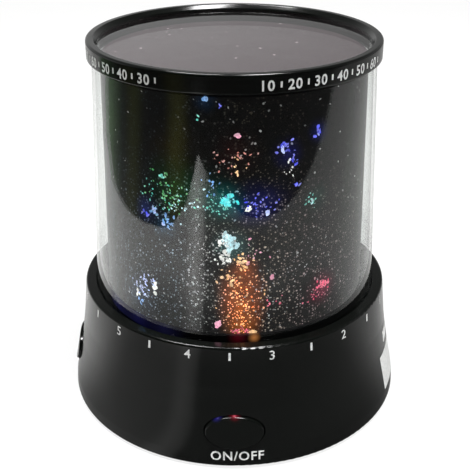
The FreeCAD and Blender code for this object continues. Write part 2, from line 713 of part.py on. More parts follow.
def battery_door():
    """The lid of the battery bay: a plate, a round hinge edge with two pins, and latch tongues."""
    plate_length = f"({DOOR_LENGTH} - door_thickness / 2)"
    plate = block("door_plate", DOOR_WIDTH, plate_length, "door_thickness",
                  y="-door_thickness / 4", z="foot_stand")
    barrel = cylinder("door_barrel", "door_thickness / 2", DOOR_WIDTH, f"-({DOOR_WIDTH}) / 2",
                      DOOR_AXIS_Y, DOOR_AXIS_Z, "90", ALONG_X)
    pins = cylinder("door_pins", "door_pin_radius", f"{DOOR_WIDTH} + 2 * door_pin_length",
                    f"-({DOOR_WIDTH}) / 2 - door_pin_length", DOOR_AXIS_Y, DOOR_AXIS_Z, "90", ALONG_X)
    tongues = []
    for side in (-1, 1):
        # each tongue rises between two cells
        tongues.append(block(f"door_tongue_{side + 1}", "door_tongue_width", "door_tongue_thickness",
                             "door_tongue_height + door_thickness / 2", f"{side} * cell_spacing / 2",
                             f"-({BAY_LENGTH} / 2 - contact_thickness - door_tongue_thickness)",
                             f"{DOOR_TOP_Z} - door_thickness / 2"))
    grip = cylinder("door_grip", "door_grip_radius", "door_grip_depth + overrun",
                    y=f"-({DOOR_LENGTH} / 2 - 2 * door_grip_radius)", z="foot_stand - overrun")
    door = cut("battery_door", fuse("door_body", [plate, barrel, pins] + tongues), [grip])
    return sub_part("battery_door", door)


def control_board():
    """The main circuit board, held on four standoffs over the bay."""
    board = block("board_blank", BOARD_WIDTH, BOARD_LENGTH, "board_thickness", z=BOARD_Z)
    holes = []
    for across in (-1, 1):
        for along in (-1, 1):
            holes.append(cylinder(f"board_hole_{across + 1}{along + 1}", "board_screw_radius + fit_gap",
                                  "board_thickness + 2 * overrun",
                                  f"{across} * ({BOARD_WIDTH} / 2 - standoff_inset)",
                                  f"{along} * ({BOARD_LENGTH} / 2 - standoff_inset)", f"{BOARD_Z} - overrun"))
    drilled = cut("board_drilled", board, holes)
    doc.recompute()
    fillet = doc.addObject("Part::Fillet", "control_board")
    fillet.Base = drilled
    size = dimension("board_corner")
    half = drilled.Shape.BoundBox.XMax
    near = dimension("running_gap")
    corners = []
    for number, edge in enumerate(drilled.Shape.Edges, start=1):
        middle = edge.CenterOfMass
        upright = isinstance(edge.Curve, Part.Line) and abs(edge.tangentAt(edge.FirstParameter).z) > near
        if upright and abs(abs(middle.x) - half) < near:
            corners.append((number, size, size))
    fillet.Edges = corners
    return sub_part("control_board", fillet)


def board_screws():
    screws = []
    for across in (-1, 1):
        for along in (-1, 1):
            x = f"{across} * ({BOARD_WIDTH} / 2 - standoff_inset)"
            y = f"{along} * ({BOARD_LENGTH} / 2 - standoff_inset)"
            screws.append(screw(f"board_screw_{across + 1}{along + 1}", "board_screw_head_radius",
                                "board_screw_head", "board_screw_radius", "board_screw_length", x, y,
                                BOARD_TOP_Z))
    return sub_part("board_screws", gather("board_screws", screws))


def controller_chip():
    """The lamp's controller: a moulded body with a row of legs along each side."""
    lift = "chip_leg_reach / 2"
    body = block("chip_body", "chip_length", "chip_width", "chip_height", y="chip_place",
                 z=f"{BOARD_TOP_Z} + {lift}")
    pieces = [body]
    for side in (-1, 1):
        for leg in range(CHIP_LEGS_A_SIDE):
            step = leg - (CHIP_LEGS_A_SIDE - 1) / 2
            pieces.append(block(f"chip_leg_{side + 1}{leg}", "chip_leg_width", "chip_leg_reach",
                                f"chip_height / 2 + {lift}", f"{step} * chip_leg_pitch",
                                f"chip_place + {side} * (chip_width + chip_leg_reach) / 2", BOARD_TOP_Z))
    return sub_part("controller_chip", fuse("controller_chip", pieces))


def board_capacitor():
    can = cylinder("board_capacitor", "capacitor_radius", "capacitor_height", "capacitor_place",
                   "-capacitor_place", BOARD_TOP_Z)
    return sub_part("board_capacitor", can)


def board_resistors():
    resistors = []
    for number in range(RESISTOR_COUNT):
        resistors.append(cylinder(f"resistor_{number}", "resistor_radius", "resistor_length",
                                  f"-resistor_place + {number - 1} * resistor_pitch",
                                  "-resistor_place + resistor_length / 2",
                                  f"{BOARD_TOP_Z} + resistor_radius", "90", ALONG_Y))
    return sub_part("board_resistors", gather("board_resistors", resistors))


def board_transistors():
    """Three plastic-cased transistors, one for each coloured light."""
    cases = []
    row = "(transistor_place - chip_width)"
    for number in range(TRANSISTOR_COUNT):
        x = f"({number} - 1) * transistor_pitch"
        case = cylinder(f"transistor_round_{number}", "transistor_width / 2", "transistor_height", x, row,
                        BOARD_TOP_Z)
        flat = block(f"transistor_flat_{number}", "2 * transistor_width", "transistor_width",
                     "transistor_height + 2 * overrun", x, f"{row} - transistor_depth",
                     f"{BOARD_TOP_Z} - overrun")
        cases.append(cut(f"transistor_{number}", case, [flat]))
    return sub_part("board_transistors", gather("board_transistors", cases))


def wire_connector():
    """The socket in the middle of the board that the lamp's wires plug into."""
    socket = block("wire_connector", "connector_length", "connector_width", "connector_height",
                   y="-connector_width / 2", z=BOARD_TOP_Z)
    return sub_part("wire_connector", socket)


def lamp_post():
    """The hollow post that carries the lamp board over the deck."""
    blank = turned("post_blank", [
        ("wire_hole_radius", DECK_Z),
        ("post_flange_radius", DECK_Z),
        ("post_flange_radius", f"{DECK_Z} + post_flange"),
        ("post_radius", f"{DECK_Z} + post_flange"),
        ("post_radius", f"{POST_TOP_Z} - post_flange"),
        ("post_flange_radius", f"{POST_TOP_Z} - post_flange"),
        ("post_flange_radius", POST_TOP_Z),
        ("wire_hole_radius", POST_TOP_Z),
    ])
    bores = []
    for side in (-1, 1):
        bores.append(cylinder(f"post_foot_hole_{side + 1}", "board_screw_radius + fit_gap",
                              "post_flange + 2 * overrun", y=f"{side} * post_screw_circle",
                              z=f"{DECK_Z} - overrun"))
        bores.append(cylinder(f"post_top_hole_{side + 1}", "board_screw_radius + running_gap",
                              "lamp_screw_length + overrun", f"{side} * post_screw_circle",
                              z=f"{LAMP_BOARD_TOP_Z} - lamp_screw_length - fit_gap"))
    return sub_part("lamp_post", cut("lamp_post", blank, bores))


def post_screws():
    screws = [screw(f"post_screw_{side + 1}", "board_screw_head_radius", "board_screw_head",
                    "board_screw_radius", "post_screw_length", "0", f"{side} * post_screw_circle",
                    f"({DECK_Z} + post_flange)") for side in (-1, 1)]
    return sub_part("post_screws", gather("post_screws", screws))


def lamp_board():
    blank = cylinder("lamp_board_blank", "lamp_board_radius", "board_thickness", z=POST_TOP_Z)
    holes = [cylinder(f"lamp_board_hole_{side + 1}", "board_screw_radius + fit_gap",
                      "board_thickness + 2 * overrun", f"{side} * post_screw_circle",
                      z=f"{POST_TOP_Z} - overrun") for side in (-1, 1)]
    return sub_part("lamp_board", cut("lamp_board", blank, holes))


def lamp_board_screws():
    screws = [screw(f"lamp_screw_{side + 1}", "board_screw_head_radius", "board_screw_head",
                    "board_screw_radius", "lamp_screw_length", f"{side} * post_screw_circle", "0",
                    LAMP_BOARD_TOP_Z) for side in (-1, 1)]
    return sub_part("lamp_board_screws", gather("lamp_board_screws", screws))


def led(colour, degrees):
    """One light: a round-nosed lens with a rim at its foot."""
    lens = turned(f"led_{colour}", [
        ("0", "0"),
        ("led_rim_radius", "0"),
        ("led_rim_radius", "led_rim"),
        ("led_radius", "led_rim"),
        ("led_radius", "led_height"),
        ("0", "led_height"),
    ])
    nose = "led_radius - running_gap"
    round_rings(lens, f"led_{colour}_nose", [(dimension("led_radius"), dimension("led_height"))], nose)
    x, y = at_angle("led_circle", degrees)
    place(lens, x, y, LAMP_BOARD_TOP_Z)
    return sub_part(f"led_{colour}", lens)


def lamp_wires():
    """Wires that rise from the connector, through the deck and the post, to the lamp board."""
    wires = []
    foot = f"({BOARD_TOP_Z} + connector_height)"
    for number in range(LED_WIRE_COUNT):
        step = number - (LED_WIRE_COUNT - 1) / 2
        wires.append(cylinder(f"lamp_wire_{number}", "led_wire_radius", f"{POST_TOP_Z} - {foot}",
                              f"{step} * led_wire_pitch", "-connector_width / 2", foot))
    return sub_part("lamp_wires", gather("lamp_wires", wires))


def push_button(name, azimuth):
    """A cap that follows the base's flare, with a wider flange behind the wall."""
    bar = oval(f"{name}_bar", "0", FLANGE_BACK, "base_height")
    skin = outer_skin(f"{name}_skin", "button_proud")
    cap = doc.addObject("Part::Common", f"{name}_cap")
    cap.Base = bar
    cap.Tool = skin
    flange = oval(f"{name}_flange", "button_flange_width", FLANGE_BACK, "button_flange")
    doc.recompute()
    face = doc.addObject("Part::Fillet", f"{name}_rounded")
    face.Base = cap
    size = dimension("button_round")
    reach = -cap.Shape.BoundBox.YMax
    edges = []
    for number, edge in enumerate(cap.Shape.Edges, start=1):
        if -edge.BoundBox.YMax > reach + dimension("button_flange"):
            edges.append((number, size, size))
    face.Edges = edges
    whole = fuse(f"button_{name}", [face, flange])
    place(whole, turn=azimuth)
    return sub_part(f"button_{name}", whole)


def plunger(name, azimuth):
    """The switch's stem, which touches the button's back."""
    stem = cylinder(f"{name}_stem", "plunger_radius", "plunger_length", y=f"-({FLANGE_BACK})",
                    z="button_centre", turn="-90", axis=ALONG_Y)
    whole = place(gather(f"plunger_{name}", [stem]), turn=azimuth)
    return sub_part(f"plunger_{name}", whole)


def push_switch(name, azimuth):
    """The switch's square case, open at the front for its stem."""
    case = block(f"{name}_case", "switch_body", "switch_depth", "switch_body",
                 y=f"-({SWITCH_FRONT} - switch_depth / 2)", z="button_centre - switch_body / 2")
    bore = cylinder(f"{name}_bore", "plunger_radius + running_gap",
                    "plunger_length + button_travel + fit_gap",
                    y=f"-({FLANGE_BACK})", z="button_centre", turn="-90", axis=ALONG_Y)
    whole = place(cut(f"switch_{name}", case, [bore]), turn=azimuth)
    return sub_part(f"switch_{name}", whole)


def switch_board(name, azimuth):
    """The small upright board behind each button, held on its bracket."""
    board = block(f"{name}_board", "switch_board_width", "switch_board_thickness", "switch_board_height",
                  y=f"-({SWITCH_BACK} - switch_board_thickness / 2)",
                  z="button_centre - switch_board_height / 2")
    whole = place(gather(f"switch_board_{name}", [board]), turn=azimuth)
    return sub_part(f"switch_board_{name}", whole)


def tube(points, radius):
    """A round wire along straight runs joined by tangent arcs, each as large as its runs allow."""
    share = dimension("wire_bend_share")
    edges = []
    start = points[0]
    for before, corner, after in zip(points, points[1:], points[2:]):
        arriving = (corner - before).normalize()
        leaving = (after - corner).normalize()
        turn = arriving.getAngle(leaving)
        setback = share * min((corner - before).Length, (after - corner).Length)
        bend = setback / math.tan(turn / 2)
        enter = corner - arriving * setback
        leave = corner + leaving * setback
        middle = corner + (leaving - arriving).normalize() * (bend / math.cos(turn / 2) - bend)
        edges.append(Part.LineSegment(start, enter).toShape())
        edges.append(Part.Arc(enter, middle, leave).toShape())
        start = leave
    edges.append(Part.LineSegment(start, points[-1]).toShape())
    path = Part.Wire(edges)
    profile = Part.Wire(Part.Circle(points[0], points[1] - points[0], radius).toShape())
    return path.makePipeShell([profile], True, True)


def route(name, places):
    """The points of a wire's route, from the formulas of their places."""
    marks = []
    for number, (x, y, z) in enumerate(places):
        mark = doc.addObject("Part::Vertex", f"{name}_mark_{number}")
        marks.append(bind(mark, {"X": x, "Y": y, "Z": z}))
    doc.recompute()
    return [mark.Shape.Point for mark in marks]


def wires(name, routes, azimuth="0"):
    """A sub-part of one or more wires, one for each route."""
    item = doc.addObject("Part::Feature", name)
    item.Shape = Part.Compound([tube(points, dimension("wire_radius")) for points in routes])
    return sub_part(name, place(item, turn=azimuth))


def wall_wires(name, azimuth, start, start_z, bay, board):
    """Two wires from a piece at the wall, over the bay's edge, down to the control board."""
    over = f"({BOARD_TOP_Z} + wire_clearance)"
    landing = f"({board} / 2 - wire_clearance / 2)"
    routes = []
    for side in (-1, 1):
        x = f"{side} * wire_pitch / 2"
        routes.append(route(f"{name}_{side + 1}", [
            (x, f"-{start}", start_z),
            (x, f"-({start} + {bay} / 2) / 2", start_z),
            (x, f"-{landing} - wire_clearance", over),
            (x, f"-{landing}", over),
            (x, f"-{landing}", BOARD_TOP_Z),
        ]))
    return wires(name, routes, azimuth)


def switch_wires(name, azimuth, bay, board):
    start_z = "(button_centre + switch_board_height / 2 - bracket_drop / 2)"
    return wall_wires(f"switch_wires_{name}", azimuth, SWITCH_BOARD_BACK, start_z, bay, board)


def inlet_wires():
    start_z = "(inlet_centre + inlet_height / 2 - wire_clearance / 2)"
    return wall_wires("inlet_wires", "180", f"({FLANGE_BACK} - inlet_depth)", start_z,
                      TOWER_LENGTH, BOARD_LENGTH)


def battery_wire(colour, x, way):
    """A wire from the top of a contact's tab, up and over, down to the control board."""
    end = f"{way} * ({BAY_LENGTH} / 2 - contact_thickness / 2)"
    landing = f"{way} * ({BOARD_LENGTH} / 2 - wire_clearance / 2)"
    over = f"{BOARD_TOP_Z} + wire_clearance"
    points = route(f"battery_wire_{colour}", [
        (x, end, f"{ROOF_Z} + contact_tab_rise"),
        (x, end, over),
        (x, landing, over),
        (x, landing, BOARD_TOP_Z),
    ])
    return wires(f"battery_wire_{colour}", [points])


def power_inlet():
    """The low-voltage socket at the back: a block with a round nose, a bore and a centre pin."""
    nose_reach = "(shell_wall + button_back_gap)"
    body = block("inlet_block", "inlet_width", "inlet_depth", "inlet_height",
                 y=f"{FLANGE_BACK} - inlet_depth / 2", z="inlet_centre - inlet_height / 2")
    nose = cylinder("inlet_nose", "inlet_nose_radius", f"{nose_reach} + button_flange",
                    y=FLANGE_BACK, z="inlet_centre", turn="-90", axis=ALONG_Y)
    tip = f"({FLANGE_BACK} + {nose_reach} + button_flange)"
    bore = cylinder("inlet_bore", "inlet_bore_radius", "inlet_bore_depth + overrun",
                    y=f"{tip} - inlet_bore_depth", z="inlet_centre", turn="-90", axis=ALONG_Y)
    pin = cylinder("inlet_pin", "inlet_pin_radius", "inlet_bore_depth - inlet_pin_setback + fit_gap",
                   y=f"{tip} - inlet_bore_depth - fit_gap", z="inlet_centre", turn="-90", axis=ALONG_Y)
    hollow = cut("inlet_hollow", fuse("inlet_outer", [body, nose]), [bore])
    return sub_part("power_inlet", fuse("power_inlet", [hollow, pin]))


BUTTONS = {"front": "front_azimuth", "left": "left_azimuth"}
# cells from left to right, with the way along Y that each nub points
CELLS = ((1, "-cell_spacing", 1), (2, "0", -1), (3, "cell_spacing", 1))
CONTACT_TABS = (("red", "-cell_spacing", 1), ("black", "cell_spacing", -1))
DOOR_AXIS_Y = f"({DOOR_LENGTH} / 2 - door_thickness / 2)"
DOOR_AXIS_Z = "(foot_stand + door_thickness / 2)"
# the widths of the bay and of the control board that each button's wires run across
WIRE_SPANS = {
    "front": (TOWER_LENGTH, BOARD_LENGTH),
    "left": (TOWER_WIDTH, BOARD_WIDTH),
}
LEDS = {"amber": 45, "red": 135, "green": 225, "blue": 315}


def build_model():
    clear_cover()
    cap_ring()
    star_drum()
    star_disc()
    drum_carrier()
    base_shell()
    bottom_plate()
    rubber_feet()
    base_screws()
    for number, x, way in CELLS:
        battery(number, x, way)
    battery_springs()
    battery_contacts()
    battery_door()
    control_board()
    board_screws()
    controller_chip()
    board_capacitor()
    board_resistors()
    board_transistors()
    wire_connector()
    lamp_post()
    post_screws()
    lamp_board()
    lamp_board_screws()
    for colour, degrees in LEDS.items():
        led(colour, degrees)
    lamp_wires()
    for name, azimuth in BUTTONS.items():
        push_button(name, azimuth)
        plunger(name, azimuth)
        push_switch(name, azimuth)
        switch_board(name, azimuth)
        switch_wires(name, azimuth, *WIRE_SPANS[name])
    for colour, x, way in CONTACT_TABS:
        battery_wire(colour, x, way)
    power_inlet()
    inlet_wires()
    doc.recompute()


def check_model():
    """Stops if any object failed or any sub-part is empty or faulty."""
    for item in doc.Objects:
        if "Invalid" in item.State or "Error" in item.State:
            raise RuntimeError(f"{item.Label} failed: {item.State}")
    for name, item in nodes:
        if item.Shape.isNull() or not item.Shape.isValid():
            raise RuntimeError(f"{name} has a faulty shape")


def write_parts():
    os.makedirs(PARTS_FOLDER, exist_ok=True)
    for name, item in nodes:
        item.Shape.exportStep(os.path.join(PARTS_FOLDER, name + ".step"))
        print(f"{name}: {len(item.Shape.Solids)} solids, {item.Shape.Volume:.0f} mm3")


build_model()
check_model()
write_parts()
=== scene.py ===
import json
import math
import random

import bmesh
import bpy
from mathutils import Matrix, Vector


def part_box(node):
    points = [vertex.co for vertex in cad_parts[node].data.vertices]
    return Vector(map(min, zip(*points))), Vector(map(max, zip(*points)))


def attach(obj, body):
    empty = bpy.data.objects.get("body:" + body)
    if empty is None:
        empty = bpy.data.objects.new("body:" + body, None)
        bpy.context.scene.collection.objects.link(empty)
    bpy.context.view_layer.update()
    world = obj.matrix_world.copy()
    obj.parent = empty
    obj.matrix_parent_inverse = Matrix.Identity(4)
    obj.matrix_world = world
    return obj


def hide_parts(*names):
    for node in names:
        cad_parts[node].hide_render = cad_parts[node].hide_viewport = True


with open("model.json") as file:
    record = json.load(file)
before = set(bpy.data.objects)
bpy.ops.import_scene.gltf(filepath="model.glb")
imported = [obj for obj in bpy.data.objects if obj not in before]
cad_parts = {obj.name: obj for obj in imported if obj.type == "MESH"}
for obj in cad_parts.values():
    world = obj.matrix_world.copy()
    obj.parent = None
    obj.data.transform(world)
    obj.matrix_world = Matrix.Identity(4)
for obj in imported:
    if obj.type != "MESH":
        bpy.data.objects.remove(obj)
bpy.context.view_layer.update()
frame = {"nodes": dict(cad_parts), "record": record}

# Lengths are in millimetres here and become metres as they are used. Azimuths are in
# degrees from the front towards +X, as in the CAD source.
MM = 0.001
# sides of each turned piece
ROUND_SEGMENTS = 240
# distance of a turned piece's extra rings from the ends of its long runs
SUPPORT = 0.4
# how far print stands proud of its wall, and the length from which its edges are divided
PRINT_PROUD = 0.04
PRINT_STEP = 0.6

# clear cover
COVER_RADIUS = 47.8
COVER_TOP_RADIUS = 44.5
COVER_WALL = 1.0
COVER_FOOT_Z = 35.6
COVER_UNDER_Z = 119.9
COVER_TOP_Z = 121.7
COVER_ROUND = 0.4
CLEAR_INDEX = 1.49
# painted shade: a dark band in the cover's wall just under the ring, standing in for the ring's shade
RING_SHADE_FOOT_Z = 117.0
RING_SHADE_TOP_Z = 118.5
# ring on top of the cover
RING_RADIUS = 46.2
RING_BORE = 44.6
RING_FOOT_Z = 118.0
RING_TOP_Z = 123.7
RING_LIP = 2.35
RING_SLOPE = 1.2
RING_SLOPE_DROP = 1.3
RING_ROUND = 0.7
# base: radius and height of each bend of its outside, from its foot to its rim
RIM_Z = 40.8
BASE_BENDS = ((57.5, 0.8), (57.2, 4.5), (54.3, 19.0), (53.05, 27.0), (51.6, RIM_Z))
# star drum
DRUM_RADIUS = 43.7
DRUM_TOP_RADIUS = 42.1
DRUM_FOOT_Z = 39.8
DRUM_TOP_Z = 117.3
DRUM_WALL = 0.8
# dial on the collar: its numbers stand a step apart, and the tick between 2 and 3 at the start
DIAL_Z = 38.0
DIAL_STEP = 28.8
DIAL_TICK = 2.6
DIAL_TICK_WIDTH = 0.75
DIAL_DIGIT = 3.2
DIAL_LETTER_SIZE = 4.32
DIAL_HEAVY = 0.03
DIAL_START = 27.2
# light at the top edge of the front button: azimuth, height, reach, colour
SLIT_GLOWS = (
    (-5.9, 17.7, 1.5, (0.03, 0.02, 0.30)),
    (-5.6, 17.5, 0.5, (0.50, 0.50, 0.90)),
    (0.1, 18.1, 1.5, (0.30, 0.00, 0.02)),
    (0.0, 18.1, 0.6, (0.80, 0.20, 0.25)),
)
# words under the front button
LABEL_SIZE = 4.3
LABEL_HEAVY = 0.08
LABEL_AZIMUTH = 0.9
LABEL_FOOT_Z = 3.0
# plain pale patches on the right of the base, in the white print's colour: width, height, azimuth, foot
PALE_PATCHES = ((39, 12.6, 86, 5.2), (6.5, 4, 75.5, 20.6))
# numbers and ticks round the ring
SCALE_AZIMUTHS = (11, 21, 31, 41, 51, 61, -33, -43, -53, -63, -73)
SCALE_STEP = 10
SCALE_Z = 119.0
SCALE_LETTER_SIZE = 4.08
SCALE_HEAVY = 0.09
SCALE_TICK_WIDTH = 0.6
SCALE_TICK = 1.65
SCALE_TICK_Z = 119.7
# battery springs
CELL_SPACING = 15.1
SPRING_LENGTH = 7.5
SPRING_WIDE = 3.2
SPRING_NARROW = 2.2
SPRING_WIRE = 0.4
SPRING_TURNS = 5
SPRING_STEPS = 20
SPRING_SIDES = 8
# lamps' lenses
LENS_FOOT_Z = 49
LENS_NOSE_Z = 56
# half of the dark length of a battery's sleeve
SLEEVE_HALF = 14
# white paper and dark table: the paper's outline, the height of each, the table's half width
PAPER = (
    (-172, -345), (520, -90), (1600, 300), (1600, 2600), (-1600, 2600), (-1600, 600),
    (-395, 208), (-309, 152), (-249, 71), (-238, 8), (-225, -51), (-206, -106), (-176, -160),
    (-163, -232),
)
PAPER_Z = -0.2
TABLE_Z = -2
TABLE_REACH = 2600
# the shade on the paper in front of the object, and the share of the light left there
SHADE_Y = -75
SHADE_HALF_WIDTH = 150
SHADE_HALF_DEPTH = 75
SHADE_SHARE = 0.42
# the share of the light left on the paper's right part, and the bright streak at its left
RIGHT_SHARE = 0.33
STREAK_AZIMUTH = -28
STREAK_HALF_WIDTH = 7
# the paper's own shade and glow as the camera sees it, and its share in mirrored light
SEEN_SHARE = 0.2
SEEN_GLOW = 0.84
MIRRORED_SHARE = 0.75
# glowing coloured bands painted on the table beside the paper, standing in for the coloured reflections
# that the cover shows: azimuth, half width, colour
TABLE_GLOW_BANDS = (
    (-114, 22, (0.16, 0.30, 0.13)),
    (-82, 12, (0.08, 0.09, 0.01)),
    (-43, 12, (0.15, 0.15, 0.02)),
)
# lamps over the object: name, place, width, depth, power
LAMPS = (
    ("lamp_right", (180, -140, 950), 210, 300, 12),
    ("lamp_left", (-230, 30, 950), 120, 300, 7),
)
# camera: its place, its angle below level in radians, and its lens
CAMERA_PLACE = (0, -280, 190.63)
CAMERA_DIP = 0.455
CAMERA_LENS = 68.94
CAMERA_SENSOR = 36.0
CAMERA_SHIFT = 0.0013


def metres(radius, azimuth, height):
    """A point of the frame from its radius and height in millimetres and its azimuth."""
    turn = math.radians(azimuth)
    return Vector((radius * math.sin(turn), -radius * math.cos(turn), height)) * MM


def finish_mesh(name, vertices, faces, sharp=35):
    """A smooth-shaded object that keeps edges sharper than the angle given."""
    mesh = bpy.data.meshes.new(name)
    mesh.from_pydata(vertices, [], faces)
    shape = bmesh.new()
    shape.from_mesh(mesh)
    bmesh.ops.recalc_face_normals(shape, faces=shape.faces)
    shape.to_mesh(mesh)
    shape.free()
    mesh.shade_smooth()
    mesh.set_sharp_from_angle(angle=math.radians(sharp))
    piece = bpy.data.objects.new(name, mesh)
    bpy.context.scene.collection.objects.link(piece)
    return piece


def rounded(corners, steps=5):
    """The outline through (radius, height, rounding) corners, each rounded by an arc.

    A point close to each end of a long run keeps the run's shading straight.
    """
    points = []
    count = len(corners)
    for k, (radius, height, size) in enumerate(corners):
        here = Vector((radius, height))
        arriving = Vector(corners[k - 1][:2]) - here
        leaving = Vector(corners[(k + 1) % count][:2]) - here
        before = arriving.normalized()
        after = leaving.normalized()
        half = before.angle(after) / 2
        reach = size / math.tan(half)
        if reach + SUPPORT < arriving.length / 2:
            points.append(here + before * (reach + SUPPORT))
        if size:
            centre = here + (before + after).normalized() * size / math.sin(half)
            start = here + before * reach - centre
            end = here + after * reach - centre
            for step in range(steps + 1):
                share = step / steps
                points.append(centre + (start * (1 - share) + end * share).normalized() * size)
        else:
            points.append(here)
        if reach + SUPPORT < leaving.length / 2:
            points.append(here + after * (reach + SUPPORT))
    return points


def lathe(name, corners, body, segments=ROUND_SEGMENTS):
    """A piece turned about Z from a closed outline."""
    outline = rounded(corners)
    vertices = []
    rings = []
    for radius, height in outline:
        if radius == 0:
            rings.append([len(vertices)] * segments)
            vertices.append(metres(0, 0, height))
            continue
        rings.append(list(range(len(vertices), len(vertices) + segments)))
        vertices.extend(metres(radius, 360 * k / segments, height) for k in range(segments))
    faces = []
    for low, high in zip(rings, rings[1:] + rings[:1]):
        for k in range(segments):
            after = (k + 1) % segments
            corner_ring = [low[k], low[after], high[after], high[k]]
            face = list(dict.fromkeys(corner_ring))
            if len(face) > 2:
                faces.append(face)
    piece = finish_mesh(name, vertices, faces)
    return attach(piece, body)


def node(tree, kind, settings=None, **inputs):
    """A shader node with its settings and the values or links of its inputs.

    An input goes by its name, or by an underscore and its number.
    """
    made = tree.nodes.new(kind)
    for key, value in (settings or {}).items():
        setattr(made, key, value)
    for key, value in inputs.items():
        socket = made.inputs[int(key[1:])] if key[0] == "_" else made.inputs[key.replace("_", " ")]
        if isinstance(value, bpy.types.NodeSocket):
            tree.links.new(value, socket)
        else:
            socket.default_value = value
    return made


def plain(name, colour, roughness):
    """A new material with its shader's colour and roughness set."""
    material = bpy.data.materials.new(name)
    material.use_nodes = True
    tree = material.node_tree
    surface = tree.nodes["Principled BSDF"]
    surface.inputs["Base Color"].default_value = (*colour, 1)
    surface.inputs["Roughness"].default_value = roughness
    place = node(tree, "ShaderNodeTexCoord").outputs["Object"]
    return material, tree, surface, place


def cloud(tree, place, per_metre, detail=4.0):
    """Soft noise with this many lumps in a metre."""
    return node(tree, "ShaderNodeTexNoise", Vector=place, Scale=per_metre, Detail=detail).outputs["Fac"]


def spread(tree, value, low, high, start=0.3, end=0.7):
    """The value moved from one range to another."""
    return node(tree, "ShaderNodeMapRange", _0=value, _1=start, _2=end, _3=low, _4=high).outputs[0]


def maths(tree, operation, first, second=0.0):
    """The result of a sum, such as ADD, POWER or ABSOLUTE. Some use only the first value."""
    return node(tree, "ShaderNodeMath", {"operation": operation}, _0=first, _1=second).outputs[0]


def blend(tree, share, first, second):
    """A mix of two colours."""
    mixed = node(tree, "ShaderNodeMix", {"data_type": "RGBA"})
    for socket, value in ((mixed.inputs[0], share), (mixed.inputs[6], first), (mixed.inputs[7], second)):
        if isinstance(value, bpy.types.NodeSocket):
            tree.links.new(value, socket)
        else:
            socket.default_value = value if isinstance(value, (int, float)) else (*value, 1)
    return mixed.outputs[2]


def wear(tree, surface, place, low, high, per_metre, bump=0.02, bump_per_metre=900):
    """Uneven gloss and a fine moulded grain."""
    tree.links.new(spread(tree, cloud(tree, place, per_metre), low, high), surface.inputs["Roughness"])
    grain = cloud(tree, place, bump_per_metre, 2.0)
    lift = node(tree, "ShaderNodeBump", Strength=0.3, Distance=bump * MM, Height=grain)
    tree.links.new(lift.outputs["Normal"], surface.inputs["Normal"])


def gloss_black():
    """Black moulded plastic with a high gloss."""
    material, tree, surface, place = plain("gloss_black", (0.0035, 0.0042, 0.0036), 0.15)
    surface.inputs["Specular IOR Level"].default_value = 0.32
    wear(tree, surface, place, 0.13, 0.19, 60, 0.006)
    return material


def satin_black():
    """Black moulded plastic with a fine grain."""
    material, tree, surface, place = plain("satin_black", (0.012, 0.012, 0.013), 0.4)
    wear(tree, surface, place, 0.35, 0.5, 200, 0.04, 2500)
    return material


def rubber():
    """Matt black rubber."""
    material, tree, surface, place = plain("rubber_black", (0.02, 0.02, 0.02), 0.8)
    wear(tree, surface, place, 0.7, 0.9, 300, 0.06, 3000)
    return material


def metal(name, colour, roughness):
    """A metal or its plating, with uneven gloss."""
    material, tree, surface, place = plain(name, colour, roughness)
    surface.inputs["Metallic"].default_value = 1.0
    wear(tree, surface, place, roughness * 0.7, roughness * 1.4, 400, 0.02, 4000)
    return material


def plastic(name, colour, roughness=0.45):
    """A coloured moulded plastic or lacquer whose shade varies a little."""
    material, tree, surface, place = plain(name, colour, roughness)
    darker = [part * 0.85 for part in colour]
    shade = blend(tree, spread(tree, cloud(tree, place, 500), 0, 1), darker, colour)
    tree.links.new(shade, surface.inputs["Base Color"])
    wear(tree, surface, place, roughness * 0.8, roughness * 1.2, 300, 0.02, 2500)
    return material


def clear_plastic():
    """Clear plastic: light passes straight through, and each face mirrors by its slope.

    A narrow dark band of painted shade shows in the cover's wall just under the ring.
    """
    material, tree, surface, place = plain("clear_plastic", (1, 1, 1), 0.03)
    tree.nodes.remove(surface)
    out = tree.nodes["Material Output"]
    grain = cloud(tree, place, 25, 2.0)
    ripple = node(tree, "ShaderNodeBump", Strength=0.25, Distance=0.03 * MM,
                  Height=grain).outputs["Normal"]
    height = node(tree, "ShaderNodeSeparateXYZ", Vector=place).outputs["Z"]
    # painted shade under the ring: the clear wall turns dark between these heights
    above = maths(tree, "GREATER_THAN", height, RING_SHADE_FOOT_Z * MM)
    ring_shade = maths(tree, "MULTIPLY", above, maths(tree, "LESS_THAN", height, RING_SHADE_TOP_Z * MM))
    tint = blend(tree, ring_shade, (0.95, 0.96, 0.955), (0.1, 0.1, 0.1))
    through = node(tree, "ShaderNodeBsdfTransparent", Color=tint)
    smear = spread(tree, cloud(tree, place, 45), 0.0, 0.01)
    mirror = node(tree, "ShaderNodeBsdfGlossy", Color=(1, 1, 1, 1), Roughness=smear, Normal=ripple)
    inner_face = node(tree, "ShaderNodeNewGeometry").outputs["Backfacing"]
    index = node(tree, "ShaderNodeMapRange", _0=inner_face, _3=CLEAR_INDEX,
                 _4=1 / CLEAR_INDEX).outputs[0]
    share = node(tree, "ShaderNodeFresnel", IOR=index, Normal=ripple).outputs[0]
    mixed = node(tree, "ShaderNodeMixShader", _0=share, _1=through.outputs[0], _2=mirror.outputs[0])
    tree.links.new(mixed.outputs[0], out.inputs["Surface"])
    return material


# colours of the film's small dots on the left, in front and on the right
SPECK_LEFT = (0.50, 0.62, 0.74)
SPECK_FRONT = (0.92, 0.80, 0.62)
SPECK_RIGHT = (0.66, 0.52, 0.52)
